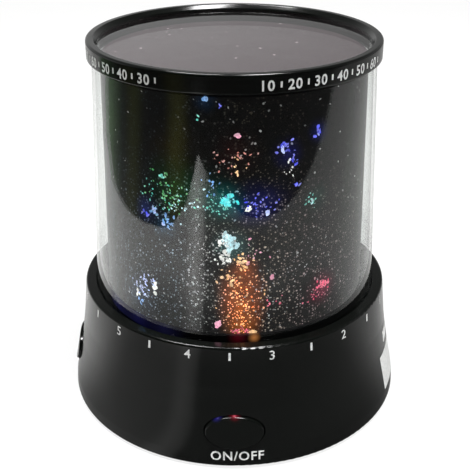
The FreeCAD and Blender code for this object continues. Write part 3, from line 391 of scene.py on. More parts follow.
# where the lamps' light shows through the film: azimuth, height, reach, colour. The
# light ends at this many times the reach
GLOW_FADE = 1.6
GLOWS = (
    (-3, 85, 5, (0.00, 0.30, 0.32)),
    (-9, 85, 8, (0.00, 0.07, 0.05)),
    (7, 84, 6, (0.01, 0.02, 0.25)),
    (14, 84, 7, (0.01, 0.01, 0.07)),
    (-23, 88, 9, (0.00, 0.07, 0.012)),
    (-38, 79, 4, (0.02, 0.04, 0.22)),
    (-29, 75, 4, (0.02, 0.10, 0.20)),
    (21, 99, 4, (0.01, 0.01, 0.18)),
    (35, 104, 3, (0.01, 0.02, 0.24)),
    (1, 100, 6, (0.03, 0.003, 0.003)),
    (-11, 115, 3, (0.01, 0.04, 0.10)),
    (35, 83, 4, (0.00, 0.06, 0.04)),
    (-1, 71, 5, (0.08, 0.28, 0.28)),
    (4, 63, 4, (0.80, 0.17, 0.03)),
    (3, 57, 6, (1.00, 0.20, 0.02)),
    (3, 50, 6, (1.00, 0.20, 0.02)),
    (3, 44, 5, (1.05, 0.25, 0.02)),
    (39, 52, 5, (0.35, 0.02, 0.08)),
    (-44, 48, 7, (0.05, 0.08, 0.14)),
    (-24, 99, 8, (0.02, 0.012, 0.00)),
    (80, 80, 24, (0.03, 0.05, 0.03)),
    (150, 80, 28, (0.04, 0.03, 0.16)),
    (200, 62, 24, (0.24, 0.07, 0.02)),
    (250, 88, 24, (0.02, 0.14, 0.09)),
)
# where the light gets past the film's foot onto the black ring under it
LEAKS = (
    (7.9, 40.0, 1.6, (0.95, 0.36, 0.10)),
    (1.5, 40.4, 2.6, (0.08, 0.00, 0.005)),
    (-60, 40.5, 8.0, (0.006, 0.006, 0.06)),
    (-44, 40.5, 6.0, (0.006, 0.006, 0.05)),
    (-30, 40.5, 6.0, (0.006, 0.006, 0.03)),
)


def film_radius(height):
    """The radius of the drum's outside at a height."""
    share = (height - DRUM_FOOT_Z) / (DRUM_TOP_Z - DRUM_FOOT_Z)
    return DRUM_RADIUS + (DRUM_TOP_RADIUS - DRUM_RADIUS) * share


def glow_at(azimuth, height):
    """The colour of the lamps' light at a place on the film."""
    here = metres(film_radius(height), azimuth, height)
    total = Vector((0, 0, 0))
    for middle, level, reach, colour in GLOWS:
        gap = (here - metres(film_radius(level), middle, level)).length / (reach * MM)
        total += Vector(colour) * max(0.0, 1 - gap / GLOW_FADE) ** 2
    return total


def glow_nodes(tree, place, spots, radius_at):
    """The light of glowing spots, as glow_at has it, as shader nodes."""
    total = None
    for middle, level, reach, colour in spots:
        centre = metres(radius_at(level), middle, level)
        gap = node(tree, "ShaderNodeVectorMath", {"operation": "DISTANCE"}, _0=place, _1=centre)
        near = node(tree, "ShaderNodeMapRange", _0=gap.outputs["Value"], _1=0.0,
                    _2=GLOW_FADE * reach * MM, _3=1.0, _4=0.0).outputs[0]
        shade = node(tree, "ShaderNodeVectorMath", {"operation": "SCALE"}, _0=colour)
        tree.links.new(maths(tree, "POWER", near, 2.0), shade.inputs["Scale"])
        if total is None:
            total = shade.outputs["Vector"]
        else:
            total = node(tree, "ShaderNodeVectorMath", {"operation": "ADD"}, _0=total,
                         _1=shade.outputs["Vector"]).outputs["Vector"]
    return total


def specks(tree, place, per_metre, size, share):
    """Small clear dots in the film, each with its own brightness; share of the cells have one."""
    cells = node(tree, "ShaderNodeTexVoronoi", Vector=place, Scale=per_metre, Randomness=1.0)
    fall = node(tree, "ShaderNodeMapRange", {"interpolation_type": "SMOOTHSTEP"},
                _0=cells.outputs["Distance"], _1=size, _2=size * 0.4, _3=0.0, _4=1.0).outputs[0]
    parts = node(tree, "ShaderNodeSeparateColor", Color=cells.outputs["Color"])
    kept = maths(tree, "LESS_THAN", parts.outputs[0], share)
    bright = spread(tree, parts.outputs[1], 0.15, 1.0, 0.0, 1.0)
    shown = maths(tree, "MULTIPLY", fall, kept)
    return maths(tree, "MULTIPLY", shown, maths(tree, "POWER", bright, 2.0))


def star_film():
    """Dark printed film whose clear dots let the lamps' light through."""
    material, tree, surface, place = plain("star_film", (0.004, 0.004, 0.0045), 0.4)
    surface.inputs["Specular IOR Level"].default_value = 0.05
    glow = glow_nodes(tree, place, GLOWS, film_radius)
    parts = node(tree, "ShaderNodeSeparateXYZ", Vector=place).outputs
    low = spread(tree, parts["Z"], 1.0, 0.12, 0.06, 0.1)
    gap = node(tree, "ShaderNodeVectorMath", {"operation": "DISTANCE"}, _0=place, _1=metres(40, 0, 60))
    ahead = spread(tree, gap.outputs["Value"], 1.0, 0.4, 0.008, 0.045)
    dots = maths(tree, "ADD", specks(tree, place, 950, 0.34, 0.6), specks(tree, place, 480, 0.24, 0.4))
    dots = maths(tree, "ADD", dots, specks(tree, place, 1500, 0.42, 0.4))
    dots = maths(tree, "MULTIPLY", dots, maths(tree, "MULTIPLY", low, ahead))
    around = blend(tree, spread(tree, parts["X"], 0, 1, -0.018, 0.002), SPECK_LEFT, SPECK_FRONT)
    around = blend(tree, spread(tree, parts["X"], 0, 1, 0.006, 0.022), around, SPECK_RIGHT)
    tint = node(tree, "ShaderNodeVectorMath", {"operation": "MULTIPLY_ADD"}, _0=glow, _1=(6, 6, 6),
                _2=around).outputs["Vector"]
    shown = node(tree, "ShaderNodeVectorMath", {"operation": "SCALE"}, _0=tint)
    tree.links.new(dots, shown.inputs["Scale"])
    haze = node(tree, "ShaderNodeVectorMath", {"operation": "SCALE"}, _0=glow)
    tree.links.new(spread(tree, cloud(tree, place, 160), 0.15, 0.5), haze.inputs["Scale"])
    light = node(tree, "ShaderNodeVectorMath", {"operation": "ADD"}, _0=haze.outputs["Vector"],
                 _1=shown.outputs["Vector"]).outputs["Vector"]
    tree.links.new(light, surface.inputs["Emission Color"])
    surface.inputs["Emission Strength"].default_value = 1.0
    return material


def disc_film():
    """The film disc over the drum, with a few faint dots."""
    material, tree, surface, place = plain("disc_film", (0.055, 0.036, 0.042), 0.5)
    surface.inputs["Specular IOR Level"].default_value = 0.1
    dots = specks(tree, place, 260, 0.18, 0.4)
    tree.links.new(maths(tree, "MULTIPLY", dots, 0.9), surface.inputs["Emission Strength"])
    surface.inputs["Emission Color"].default_value = (1.0, 0.82, 0.86, 1)
    tree.links.new(spread(tree, cloud(tree, place, 60), 0.4, 0.6), surface.inputs["Roughness"])
    return material


def leaking_black():
    """Black plastic that the lamps' light leaks past, round the film's foot."""
    material, tree, surface, place = plain("leaking_black", (0.01, 0.01, 0.011), 0.2)
    tree.links.new(glow_nodes(tree, place, LEAKS, film_radius), surface.inputs["Emission Color"])
    surface.inputs["Emission Strength"].default_value = 1.0
    tree.links.new(spread(tree, cloud(tree, place, 120), 0.15, 0.3), surface.inputs["Roughness"])
    return material


def button_black():
    """Glossy button. A little of the lamps' light shows at its top edge."""
    material, tree, surface, place = plain("button_black", (0.0035, 0.0042, 0.0036), 0.12)
    surface.inputs["Specular IOR Level"].default_value = 0.3
    tree.links.new(glow_nodes(tree, place, SLIT_GLOWS, wall_radius), surface.inputs["Emission Color"])
    surface.inputs["Emission Strength"].default_value = 1.0
    tree.links.new(spread(tree, cloud(tree, place, 90), 0.09, 0.16), surface.inputs["Roughness"])
    return material


def star_light():
    """Bright dots of the film, coloured by the lamp behind them."""
    material, tree, surface, place = plain("star_light", (0, 0, 0), 0.3)
    colour = node(tree, "ShaderNodeAttribute", {"attribute_name": "lamp_colour"}).outputs["Color"]
    flicker = spread(tree, cloud(tree, place, 1500), 0.75, 1.25)
    tree.links.new(colour, surface.inputs["Emission Color"])
    tree.links.new(flicker, surface.inputs["Emission Strength"])
    return material


def white_print():
    """White ink with an uneven cover."""
    material, tree, surface, place = plain("white_print", (0.85, 0.86, 0.85), 0.5)
    thin = spread(tree, cloud(tree, place, 1800), 0.75, 1.0)
    shade = node(tree, "ShaderNodeVectorMath", {"operation": "SCALE"}, _0=(0.85, 0.86, 0.85))
    tree.links.new(thin, shade.inputs["Scale"])
    tree.links.new(shade.outputs["Vector"], surface.inputs["Base Color"])
    return material


def circuit_board():
    """Green solder mask with raised tracks and pads."""
    material, tree, surface, place = plain("circuit_board", (0.01, 0.09, 0.04), 0.3)
    tracks = node(tree, "ShaderNodeTexBrick", Vector=place, Scale=220, Mortar_Size=0.03,
                  Color1=(0.008, 0.08, 0.035, 1), Color2=(0.01, 0.1, 0.045, 1),
                  Mortar=(0.03, 0.2, 0.08, 1))
    pads = node(tree, "ShaderNodeTexVoronoi", Vector=place, Scale=260).outputs["Distance"]
    shade = blend(tree, maths(tree, "LESS_THAN", pads, 0.13), tracks.outputs["Color"], (0.55, 0.53, 0.5))
    tree.links.new(shade, surface.inputs["Base Color"])
    lift = node(tree, "ShaderNodeBump", Strength=0.4, Distance=0.03 * MM, Height=tracks.outputs["Fac"])
    tree.links.new(lift.outputs["Normal"], surface.inputs["Normal"])
    return material


def cell_sleeve():
    """A battery's sleeve: dark in the middle of its length and copper-coloured at its ends."""
    material, tree, surface, place = plain("cell_sleeve", (0.02, 0.02, 0.022), 0.3)
    along = node(tree, "ShaderNodeSeparateXYZ", Vector=place).outputs["Y"]
    band = maths(tree, "GREATER_THAN", maths(tree, "ABSOLUTE", along), SLEEVE_HALF * MM)
    shade = blend(tree, band, (0.02, 0.02, 0.022), (0.5, 0.2, 0.08))
    tree.links.new(shade, surface.inputs["Base Color"])
    tree.links.new(maths(tree, "MULTIPLY", band, 0.8), surface.inputs["Metallic"])
    tree.links.new(spread(tree, cloud(tree, place, 250), 0.22, 0.38), surface.inputs["Roughness"])
    return material


def resistor():
    """Tan lacquer with coloured rings."""
    material, tree, surface, place = plain("resistor_body", (0.45, 0.32, 0.18), 0.35)
    bands = node(tree, "ShaderNodeTexWave", {"bands_direction": "Y"}, Vector=place,
                 Scale=180).outputs["Fac"]
    ringed = maths(tree, "GREATER_THAN", bands, 0.72)
    shade = blend(tree, ringed, (0.45, 0.32, 0.18), (0.16, 0.03, 0.02))
    tree.links.new(shade, surface.inputs["Base Color"])
    return material


def lens(name, colour):
    """A lit lamp's tinted lens, brightest at its nose."""
    material, tree, surface, place = plain(name, colour, 0.1)
    height = node(tree, "ShaderNodeSeparateXYZ", Vector=place).outputs["Z"]
    level = spread(tree, height, 0.4, 2.5, LENS_FOOT_Z * MM, LENS_NOSE_Z * MM)
    cloudy = spread(tree, cloud(tree, place, 600), 0.85, 1.15)
    surface.inputs["Emission Color"].default_value = (*colour, 1)
    tree.links.new(maths(tree, "MULTIPLY", level, cloudy), surface.inputs["Emission Strength"])
    return material


def slot_materials():
    """The look of each material slot of the record."""
    return {
        "black_gloss": gloss_black(),
        "clear_plastic": clear_plastic(),
        "star_film": star_film(),
        "black_matte": satin_black(),
        "rubber": rubber(),
        "steel": metal("steel", (0.5, 0.5, 0.51), 0.3),
        "nickel": metal("nickel", (0.66, 0.63, 0.58), 0.2),
        "cell_sleeve": cell_sleeve(),
        "circuit_board": circuit_board(),
        "component_black": plastic("component_black", (0.02, 0.02, 0.021)),
        "resistor_body": resistor(),
        "connector_white": plastic("connector_white", (0.7, 0.68, 0.62)),
        "amber_lens": lens("amber_lens", (0.95, 0.38, 0.04)),
        "red_lens": lens("red_lens", (0.9, 0.03, 0.02)),
        "green_lens": lens("green_lens", (0.03, 0.8, 0.12)),
        "blue_lens": lens("blue_lens", (0.03, 0.12, 0.95)),
        "wire_white": plastic("wire_white", (0.7, 0.7, 0.68)),
        "wire_red": plastic("wire_red", (0.45, 0.02, 0.015)),
        "wire_black": plastic("wire_black", (0.015, 0.015, 0.015)),
    }


MATERIALS = slot_materials()


def dress(piece, slot):
    """Gives a piece the look of a slot of the record, and names that slot for it."""
    piece.data.materials.clear()
    piece.data.materials.append(MATERIALS[slot])
    return piece


def dress_cad_nodes():
    """Puts the record's slots on the CAD nodes that stay in sight."""
    for row in frame["record"]["subparts"]:
        dress(frame["nodes"][row["node"]], row["material_slot"])
    for name, look in (("star_disc", disc_film()), ("drum_carrier", leaking_black())):
        frame["nodes"][name].data.materials[0] = look
    buttons = button_black()
    for side in ("front", "left"):
        frame["nodes"]["button_" + side].data.materials[0] = buttons


def stand_for(piece, cad_node, slot):
    """A finer piece in the place of a CAD node."""
    dress(piece, slot)
    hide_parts(cad_node)
    return piece


def build_cover():
    """The clear cup over the drum."""
    foot = COVER_RADIUS - COVER_WALL
    under = COVER_TOP_RADIUS - COVER_WALL
    cover = lathe("cover_clear", [
        (foot, COVER_FOOT_Z, 0.2),
        (COVER_RADIUS, COVER_FOOT_Z, 0.2),
        (COVER_RADIUS, RIM_Z, 0),
        (COVER_TOP_RADIUS, COVER_TOP_Z, COVER_ROUND),
        (0, COVER_TOP_Z, 0),
        (0, COVER_UNDER_Z, 0),
        (under, COVER_UNDER_Z, COVER_ROUND),
        (foot, RIM_Z, 0),
    ], "cover")
    return stand_for(cover, "clear_cover", "clear_plastic")


def build_ring():
    """The black ring with its lip and the slope inside it."""
    slope_foot = RING_RADIUS - RING_LIP - RING_SLOPE
    ring = lathe("cover_ring", [
        (RING_BORE, RING_FOOT_Z, 0),
        (RING_RADIUS, RING_FOOT_Z, 0.3),
        (RING_RADIUS, RING_TOP_Z, RING_ROUND),
        (RING_RADIUS - RING_LIP, RING_TOP_Z, 0.4),
        (slope_foot, RING_TOP_Z - RING_SLOPE_DROP, 0.4),
        (slope_foot, COVER_TOP_Z, 0),
        (RING_BORE, COVER_TOP_Z, 0),
    ], "cover")
    return stand_for(ring, "cap_ring", "black_gloss")


def build_drum():
    """The printed tube."""
    drum = lathe("drum_film", [
        (DRUM_RADIUS - DRUM_WALL, DRUM_FOOT_Z, 0),
        (DRUM_RADIUS, DRUM_FOOT_Z, 0.1),
        (DRUM_TOP_RADIUS, DRUM_TOP_Z, 0.1),
        (DRUM_TOP_RADIUS - DRUM_WALL, DRUM_TOP_Z, 0),
    ], "drum")
    return stand_for(drum, "star_drum", "star_film")


def print_on_wall(name, marks, body, radius_at):
    """Flat outlines laid on a round wall: each mark is (points, faces, azimuth, height)."""
    vertices = []
    faces = []
    for points, panels, azimuth, height in marks:
        first = len(vertices)
        for across, up in points:
            level = height + up
            radius = radius_at(level) + PRINT_PROUD
            vertices.append(metres(radius, azimuth + math.degrees(across / radius), level))
        faces.extend([first + k for k in panel] for panel in panels)
    piece = finish_mesh(name, vertices, faces)
    piece.data.materials.append(PRINT)
    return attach(piece, body)


def letters(text, size, heavy=0.0):
    """The points and faces of a line of text, centred on its place, in millimetres."""
    curve = bpy.data.curves.new("letters", "FONT")
    curve.body = text
    curve.size = size
    curve.offset = heavy
    curve.align_x = "CENTER"
    curve.space_character = 1.12
    curve.resolution_u = 3
    holder = bpy.data.objects.new("letters", curve)
    bpy.context.scene.collection.objects.link(holder)
    bpy.context.view_layer.update()
    flat = bpy.data.meshes.new_from_object(holder.evaluated_get(bpy.context.evaluated_depsgraph_get()))
    shape = bmesh.new()
    shape.from_mesh(flat)
    for _ in range(3):
        long_edges = [edge for edge in shape.edges if edge.calc_length() > PRINT_STEP]
        bmesh.ops.subdivide_edges(shape, edges=long_edges, cuts=1)
        bmesh.ops.triangulate(shape, faces=shape.faces)
    shape.verts.index_update()
    points = [(vertex.co.x, vertex.co.y) for vertex in shape.verts]
    panels = [[vertex.index for vertex in face.verts] for face in shape.faces]
    shape.free()
    bpy.data.objects.remove(holder)
    return points, panels


def panel(width, height):
    """The points and faces of an upright rectangle, centred across, in small fields."""
    columns = math.ceil(width / PRINT_STEP)
    rows = math.ceil(height / PRINT_STEP)
    points = []
    for row in range(rows + 1):
        for column in range(columns + 1):
            points.append(((column / columns - 0.5) * width, row / rows * height))
    fields = []
    for row in range(rows):
        for column in range(columns):
            low = row * (columns + 1) + column
            high = low + columns + 1
            fields.append([low, low + 1, high + 1, high])
    return points, fields


def wall_radius(height):
    """The radius of the base's outside at a height between its foot and its rim."""
    for (low_radius, low), (high_radius, high) in zip(BASE_BENDS, BASE_BENDS[1:]):
        if height <= high:
            break
    return low_radius + (high_radius - low_radius) * (height - low) / (high - low)


def ring_radius(_height):
    """The ring's outside is upright."""
    return RING_RADIUS


def build_dial():
    """Twelve numbers round the collar, growing to the left, with a tick at each side of them."""
    marks = []
    tick = panel(DIAL_TICK_WIDTH, DIAL_TICK)
    tick_z = DIAL_Z - DIAL_TICK / 2
    for number in range(1, 13):
        middle = DIAL_START + DIAL_STEP / 2 + (2 - number) * DIAL_STEP
        label = letters(str(number), DIAL_LETTER_SIZE, DIAL_HEAVY)
        marks.append((*label, middle, DIAL_Z - DIAL_DIGIT / 2))
        marks.append((*tick, middle + DIAL_STEP / 2, tick_z))
    marks.append((*tick, middle - DIAL_STEP / 2, tick_z))
    return print_on_wall("dial_marks", marks, "base", wall_radius)


def build_ring_scale():
    """Plain numbers of degrees along two arcs of the ring."""
    marks = []
    for azimuth in SCALE_AZIMUTHS:
        label = str(abs(azimuth) // SCALE_STEP * SCALE_STEP)
        marks.append((*letters(label, SCALE_LETTER_SIZE, SCALE_HEAVY), azimuth, SCALE_Z))
        marks.append((*panel(SCALE_TICK_WIDTH, SCALE_TICK), azimuth + SCALE_STEP / 2, SCALE_TICK_Z))
    return print_on_wall("ring_scale", marks, "cover", ring_radius)


def build_switch_label():
    """The words under the front button."""
    marks = [(*letters("ON/OFF", LABEL_SIZE, LABEL_HEAVY), LABEL_AZIMUTH, LABEL_FOOT_Z)]
    return print_on_wall("switch_label", marks, "base", wall_radius)


def build_side_panels():
    """A large pale patch low on the right side and a small one above it, in the white print's colour,
    both without text.
    """
    marks = [(*panel(width, height), azimuth, foot) for width, height, azimuth, foot in PALE_PATCHES]
    return print_on_wall("side_patches", marks, "base", wall_radius)


# colours of the film's bright dots
CYAN = (0.10, 1.30, 1.35)
TEAL = (0.10, 0.75, 0.62)
GREEN = (0.10, 0.55, 0.16)
ICE = (0.62, 1.00, 1.10)
WHITE = (1.20, 1.20, 1.15)
SKY = (0.16, 0.45, 1.00)
BLUE = (0.06, 0.08, 1.10)
PALE_BLUE = (0.65, 0.75, 1.30)
SALMON = (0.80, 0.26, 0.20)
PINK = (1.10, 0.42, 0.62)
ORANGE = (1.25, 0.42, 0.10)
AMBER = (1.30, 0.75, 0.30)
CRIMSON = (1.10, 0.06, 0.20)
GREY = (0.34, 0.34, 0.35)
# groups of bright dots: azimuth, height, spread across and up, count, size, colour
STAR_GROUPS = (
    (-3.0, 85.4, 2.0, 1.6, 12, 0.9, CYAN),
    (-7, 84, 5, 4, 30, 0.35, TEAL),
    (-9, 90, 3, 3, 12, 0.4, SKY),
    (5.3, 83, 0.8, 0.6, 4, 0.9, WHITE),
    (7, 85, 3, 3, 12, 0.4, BLUE),
    (14, 83, 4, 3, 10, 0.35, BLUE),
    (13.5, 81, 0.8, 0.6, 2, 0.7, PALE_BLUE),
    (-1.7, 72.0, 2.4, 3.2, 34, 0.9, ICE),
    (-4.2, 72.5, 2.2, 2.6, 10, 0.8, WHITE),
    (-4.5, 66.5, 2.6, 2.6, 14, 0.6, WHITE),
    (-10, 68, 7, 7, 40, 0.3, GREY),
    (3.0, 66, 3.5, 3, 18, 0.5, AMBER),
    (3, 57, 6, 8, 34, 0.3, ORANGE),
    (-2.5, 61, 3, 3, 10, 0.6, AMBER),
    (3, 47, 6, 6, 24, 0.3, ORANGE),
    (3, 52, 6, 9, 34, 0.36, AMBER),
    (7.5, 68, 4, 4, 12, 0.4, PINK),
    (-6.6, 44.4, 0.2, 0.2, 3, 1.2, PINK),
    (7.6, 41.5, 0.5, 0.4, 5, 1.1, AMBER),
    (2.0, 42, 4, 1.5, 22, 0.35, CRIMSON),
    (-2.5, 98, 4, 3, 14, 0.35, SALMON),
    (4, 99, 4, 3, 10, 0.35, SALMON),
    (1.0, 96, 3.5, 3, 9, 0.4, AMBER),
    (1.2, 105.2, 0.4, 0.4, 2, 0.7, PINK),
    (19.4, 101.0, 2.2, 1.5, 12, 0.55, BLUE),
    (18.8, 100.7, 0.5, 0.5, 2, 0.8, PALE_BLUE),
    (23.5, 97, 1.4, 3.2, 12, 0.45, BLUE),
    (21.5, 95, 2.2, 2.0, 8, 0.4, WHITE),
    (34.6, 104, 1.6, 1.8, 9, 0.55, BLUE),
    (34.9, 103, 0.4, 0.6, 2, 0.6, PALE_BLUE),
    (25.3, 88.5, 1.2, 1.0, 4, 0.6, BLUE),
    (32.4, 82.5, 2.8, 2.8, 16, 0.35, TEAL),
    (32.2, 82.5, 0.8, 1.6, 3, 0.5, ICE),
    (-34, 79.5, 2.0, 1.2, 7, 0.55, SKY),
    (-38.5, 77, 2.0, 1.2, 7, 0.55, BLUE),
    (-34, 79, 1.4, 0.6, 3, 0.6, PALE_BLUE),
    (-27, 76, 3.2, 2.4, 18, 0.5, SKY),
    (-29, 75.6, 0.4, 0.6, 2, 0.8, PALE_BLUE),
    (-27, 86, 9, 5, 50, 0.35, GREEN),
    (-31, 83, 9, 5, 30, 0.35, TEAL),
    (-20, 83, 8, 4, 26, 0.35, ICE),
    (-29.6, 91, 0.4, 0.4, 2, 0.8, TEAL),
    (-13.8, 110, 0.5, 0.5, 2, 0.7, TEAL),
    (-10.5, 116, 1.0, 1.0, 4, 0.7, SKY),
    (-5.9, 114, 1.0, 1.0, 3, 0.5, BLUE),
    (38, 53.0, 3.5, 1.2, 22, 0.45, CRIMSON),
    (41, 53.2, 2.2, 0.5, 8, 0.7, CRIMSON),
    (35, 50, 4.0, 2.0, 14, 0.35, CRIMSON),
    (17, 51, 3.0, 1.6, 8, 0.4, CRIMSON),
    (-34.5, 53, 1.0, 2.0, 10, 0.7, WHITE),
    (-37, 55, 4.0, 1.5, 18, 0.4, PALE_BLUE),
    (-43, 51, 4.0, 3.0, 28, 0.4, PALE_BLUE),
    (-45, 49.5, 0.8, 1.5, 4, 0.8, WHITE),
    (-42, 46, 2.0, 1.4, 9, 0.5, SKY),
    (15.2, 59.7, 0.3, 0.3, 2, 0.8, PINK),
    (12, 52, 8, 9, 40, 0.3, GREY),
    (26, 60, 9, 12, 40, 0.25, GREY),
    (-16, 56, 8, 9, 60, 0.3, GREY),
)
LONE_STARS = 420
STAR_SIDES = 7


def star_shape(mesh_data, azimuth, height, size, colour, chance):
    """One bright dot of the film as a small uneven patch."""
    vertices, faces, colours = mesh_data
    first = len(vertices)
    stretch = chance.uniform(1.0, 1.5)
    lean = chance.uniform(0, math.tau)
    for k in range(STAR_SIDES):
        turn = math.tau * k / STAR_SIDES
        reach = size * chance.uniform(0.75, 1.1)
        along = reach * math.cos(turn) * stretch
        aside = reach * math.sin(turn) / stretch
        across = along * math.cos(lean) - aside * math.sin(lean)
        up = along * math.sin(lean) + aside * math.cos(lean)
        level = min(max(height + up, DRUM_FOOT_Z + 0.1), DRUM_TOP_Z - 0.1)
        radius = film_radius(level) + PRINT_PROUD
        vertices.append(metres(radius, azimuth + math.degrees(across / radius), level))
        colours.append(colour)
    faces.append(list(range(first, first + STAR_SIDES)))


def build_stars():
    """The film's bright dots: groups where the lamps shine through, and single ones all round."""
    chance = random.Random(12)
    data = ([], [], [])
    for azimuth, height, across, up, count, size, tint in STAR_GROUPS:
        for _ in range(count):
            place = azimuth + chance.gauss(0, 0.6) * across
            level = height + chance.gauss(0, 0.6) * up
            strength = chance.uniform(0.45, 1.1)
            pale = chance.uniform(0, 0.25)
            colour = [part * strength + pale for part in tint]
            star_shape(data, place, level, size * chance.uniform(0.5, 1.15), colour, chance)
    for _ in range(LONE_STARS):
        place = chance.uniform(-180, 180)
        level = DRUM_FOOT_Z + (DRUM_TOP_Z - DRUM_FOOT_Z) * chance.random() ** 1.3
        glow = glow_at(place, level) * 3
        pale = chance.uniform(0.05, 0.4)
        colour = [part + pale for part in glow]
        star_shape(data, place, level, chance.uniform(0.15, 0.4), colour, chance)
    vertices, faces, colours = data
    stars = finish_mesh("film_stars", vertices, faces)
    shade = stars.data.color_attributes.new("lamp_colour", "FLOAT_COLOR", "POINT")
    for k, colour in enumerate(colours):
        shade.data[k].color = (*colour, 1)
    stars.data.materials.append(star_light())
    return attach(stars, "drum")


def build_springs():
    """Coiled battery springs in the places of the CAD cones."""
    low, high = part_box("battery_springs")
    middle_z = (low.z + high.z) / 2
    vertices = []
    faces = []
    turns = SPRING_TURNS * SPRING_STEPS
    for x, way in ((-CELL_SPACING, -1), (0.0, 1), (CELL_SPACING, -1)):
        wall = high.y if way > 0 else low.y
        first = len(vertices)
        for step in range(turns + 1):
            share = step / turns
            turn = math.tau * SPRING_TURNS * share
            reach = SPRING_WIDE + (SPRING_NARROW - SPRING_WIDE) * share
            along = SPRING_WIRE + (SPRING_LENGTH - 2 * SPRING_WIRE) * share
            for k in range(SPRING_SIDES):
                bend = math.tau * k / SPRING_SIDES
                radius = (reach + SPRING_WIRE * math.cos(bend)) * MM
                vertices.append((
                    x * MM + radius * math.cos(turn),
                    wall - way * (along + SPRING_WIRE * math.sin(bend)) * MM,
                    middle_z + radius * math.sin(turn),
                ))
        for step in range(turns):
            for k in range(SPRING_SIDES):
                after = (k + 1) % SPRING_SIDES
                ring = first + step * SPRING_SIDES
                over = ring + SPRING_SIDES
                faces.append([ring + k, ring + after, over + after, over + k])
    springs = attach(finish_mesh("spring_coils", vertices, faces), "base")
    return stand_for(springs, "battery_springs", "nickel")


def stage_sheet(name, corners, height, material):
    """A flat sheet on the table, from its corners in millimetres."""
    vertices = [Vector((x, y, height)) * MM for x, y in corners]
    sheet = finish_mesh(name, vertices, [list(range(len(corners)))])
    sheet.data.materials.append(material)


def floor_azimuth(tree, parts):
    """The azimuth in degrees of a place on the table."""
    front = maths(tree, "MULTIPLY", parts.outputs["Y"], -1)
    return maths(tree, "MULTIPLY", maths(tree, "ARCTAN2", parts.outputs["X"], front), 180 / math.pi)


def paper_light(tree, place):
    """How bright the paper is as the object mirrors it: shaded in front, streaked at the left."""
    parts = node(tree, "ShaderNodeSeparateXYZ", Vector=place)
    across = maths(tree, "MULTIPLY", parts.outputs["X"], 1 / SHADE_HALF_WIDTH / MM)
    along = maths(tree, "ADD", parts.outputs["Y"], -SHADE_Y * MM)
    along = maths(tree, "MULTIPLY", along, 1 / SHADE_HALF_DEPTH / MM)
    squares = maths(tree, "ADD", maths(tree, "POWER", across, 2.0), maths(tree, "POWER", along, 2.0))
    shade = node(tree, "ShaderNodeMapRange", {"interpolation_type": "SMOOTHSTEP"},
                 _0=maths(tree, "SQRT", squares), _1=0.7, _2=1.25, _3=SHADE_SHARE, _4=1.0).outputs[0]
    turn = floor_azimuth(tree, parts)
    left = spread(tree, turn, 1.0, 0.0, -22, -18)
    right = spread(tree, turn, RIGHT_SHARE, 2 * RIGHT_SHARE, 20, 120)
    off_streak = maths(tree, "ABSOLUTE", maths(tree, "SUBTRACT", turn, STREAK_AZIMUTH))
    streak = spread(tree, off_streak, 0.75, 0.0, 0, STREAK_HALF_WIDTH)
    fan = maths(tree, "ADD", maths(tree, "MAXIMUM", left, right), streak)
    return maths(tree, "MULTIPLY", maths(tree, "MULTIPLY", shade, fan), MIRRORED_SHARE)


def sheet_white():
    """White paper, with one brightness for the camera and another for what mirrors it."""
    material, tree, surface, place = plain("sheet_white", (0.8, 0.8, 0.8), 0.9)
    surface.inputs["Specular IOR Level"].default_value = 0.0
    rays = node(tree, "ShaderNodeLightPath").outputs
    mirrored = paper_light(tree, place)
    grain = spread(tree, cloud(tree, place, 40), 0.97, 1.0)
    share = node(tree, "ShaderNodeMix", _0=rays["Is Glossy Ray"], _2=1.0, _3=mirrored).outputs[0]
    share = node(tree, "ShaderNodeMix", _0=rays["Is Camera Ray"], _2=share, _3=SEEN_SHARE).outputs[0]
    white = node(tree, "ShaderNodeVectorMath", {"operation": "SCALE"}, _0=(0.8, 0.8, 0.79))
    tree.links.new(maths(tree, "MULTIPLY", share, grain), white.inputs["Scale"])
    tree.links.new(white.outputs["Vector"], surface.inputs["Base Color"])
    surface.inputs["Emission Color"].default_value = (1, 1, 1, 1)
    seen = maths(tree, "MULTIPLY", rays["Is Camera Ray"], SEEN_GLOW)
    tree.links.new(seen, surface.inputs["Emission Strength"])
    return material


def dark_table():
    """Dark table round the paper, with soft glowing coloured bands that the cover mirrors as painted
    reflections.
    """
    material, tree, surface, place = plain("dark_table", (0.012, 0.012, 0.011), 0.8)
    turn = floor_azimuth(tree, node(tree, "ShaderNodeSeparateXYZ", Vector=place))
    total = (0, 0, 0)
    for azimuth, half_width, colour in TABLE_GLOW_BANDS:
        off = maths(tree, "ABSOLUTE", maths(tree, "SUBTRACT", turn, azimuth))
        near = node(tree, "ShaderNodeMapRange", {"interpolation_type": "SMOOTHSTEP"},
                    _0=off, _1=half_width, _2=0.0, _3=0.0, _4=1.0).outputs[0]
        band = node(tree, "ShaderNodeVectorMath", {"operation": "SCALE"}, _0=colour)
        tree.links.new(near, band.inputs["Scale"])
        total = node(tree, "ShaderNodeVectorMath", {"operation": "ADD"}, _0=total,
                     _1=band.outputs["Vector"]).outputs["Vector"]
    # the bands glow, as painted reflections for the cover
    tree.links.new(total, surface.inputs["Emission Color"])
    tree.links.new(spread(tree, cloud(tree, place, 9), 0.7, 1.1), surface.inputs["Emission Strength"])
    return material


def build_stage():
    """The white paper on the dark table."""
    stage_sheet("paper", PAPER, PAPER_Z, sheet_white())
    around = [(x * TABLE_REACH, y * TABLE_REACH) for x, y in ((-1, -1), (1, -1), (1, 1), (-1, 1))]
    stage_sheet("table", around, TABLE_Z, dark_table())


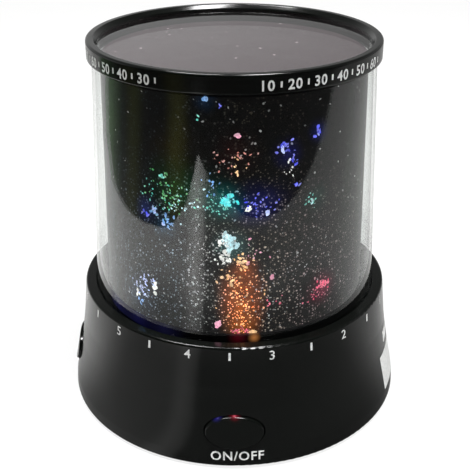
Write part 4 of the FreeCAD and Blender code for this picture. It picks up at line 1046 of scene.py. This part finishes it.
def build_light(name, place, width, depth, power):
    """An oblong lamp that shines at the object's foot."""
    lamp = bpy.data.lights.new(name, "AREA")
    lamp.shape = "RECTANGLE"
    lamp.size = width * MM
    lamp.size_y = depth * MM
    lamp.energy = power
    holder = bpy.data.objects.new(name, lamp)
    holder.location = Vector(place) * MM
    holder.rotation_euler = (-Vector(place)).to_track_quat("-Z", "Y").to_euler()
    bpy.context.scene.collection.objects.link(holder)


def build_world():
    """White low at the back and brighter to the left, dark elsewhere, and white to the camera."""
    world = bpy.data.worlds.new("studio")
    bpy.context.scene.world = world
    world.use_nodes = True
    tree = world.node_tree
    ground = tree.nodes["Background"]
    way = node(tree, "ShaderNodeTexCoord").outputs["Generated"]
    parts = node(tree, "ShaderNodeSeparateXYZ", Vector=way)
    back = spread(tree, parts.outputs["Y"], 0.02, 1.0, -0.3, 0.1)
    across = spread(tree, parts.outputs["X"], 1.1, 0.6, -0.2, 0.2)
    low = spread(tree, parts.outputs["Z"], 0.55, 0.4, 0.2, 0.3)
    high = spread(tree, parts.outputs["Z"], 1.0, 0.3, 0.3, 0.6)
    level = maths(tree, "MULTIPLY", back, across)
    level = maths(tree, "MULTIPLY", level, maths(tree, "MULTIPLY", low, high))
    seen = node(tree, "ShaderNodeLightPath").outputs["Is Camera Ray"]
    tree.links.new(maths(tree, "MAXIMUM", level, seen), ground.inputs["Strength"])
    ground.inputs["Color"].default_value = (1, 1, 1, 1)


def build_camera():
    """The photograph's view."""
    lens_view = bpy.data.cameras.new("camera")
    lens_view.sensor_width = CAMERA_SENSOR
    lens_view.lens = CAMERA_LENS
    lens_view.shift_x = CAMERA_SHIFT
    camera = bpy.data.objects.new("camera", lens_view)
    camera.location = Vector(CAMERA_PLACE) * MM
    camera.rotation_euler = (math.pi / 2 - CAMERA_DIP, 0, 0)
    bpy.context.scene.collection.objects.link(camera)
    bpy.context.scene.camera = camera


PRINT = white_print()
dress_cad_nodes()
build_cover()
build_ring()
build_drum()
build_dial()
build_ring_scale()
build_switch_label()
build_side_panels()
build_stars()
build_springs()
build_stage()
for lamp_row in LAMPS:
    build_light(*lamp_row)
build_world()
build_camera()
bpy.context.scene.view_settings.view_transform = "Standard"
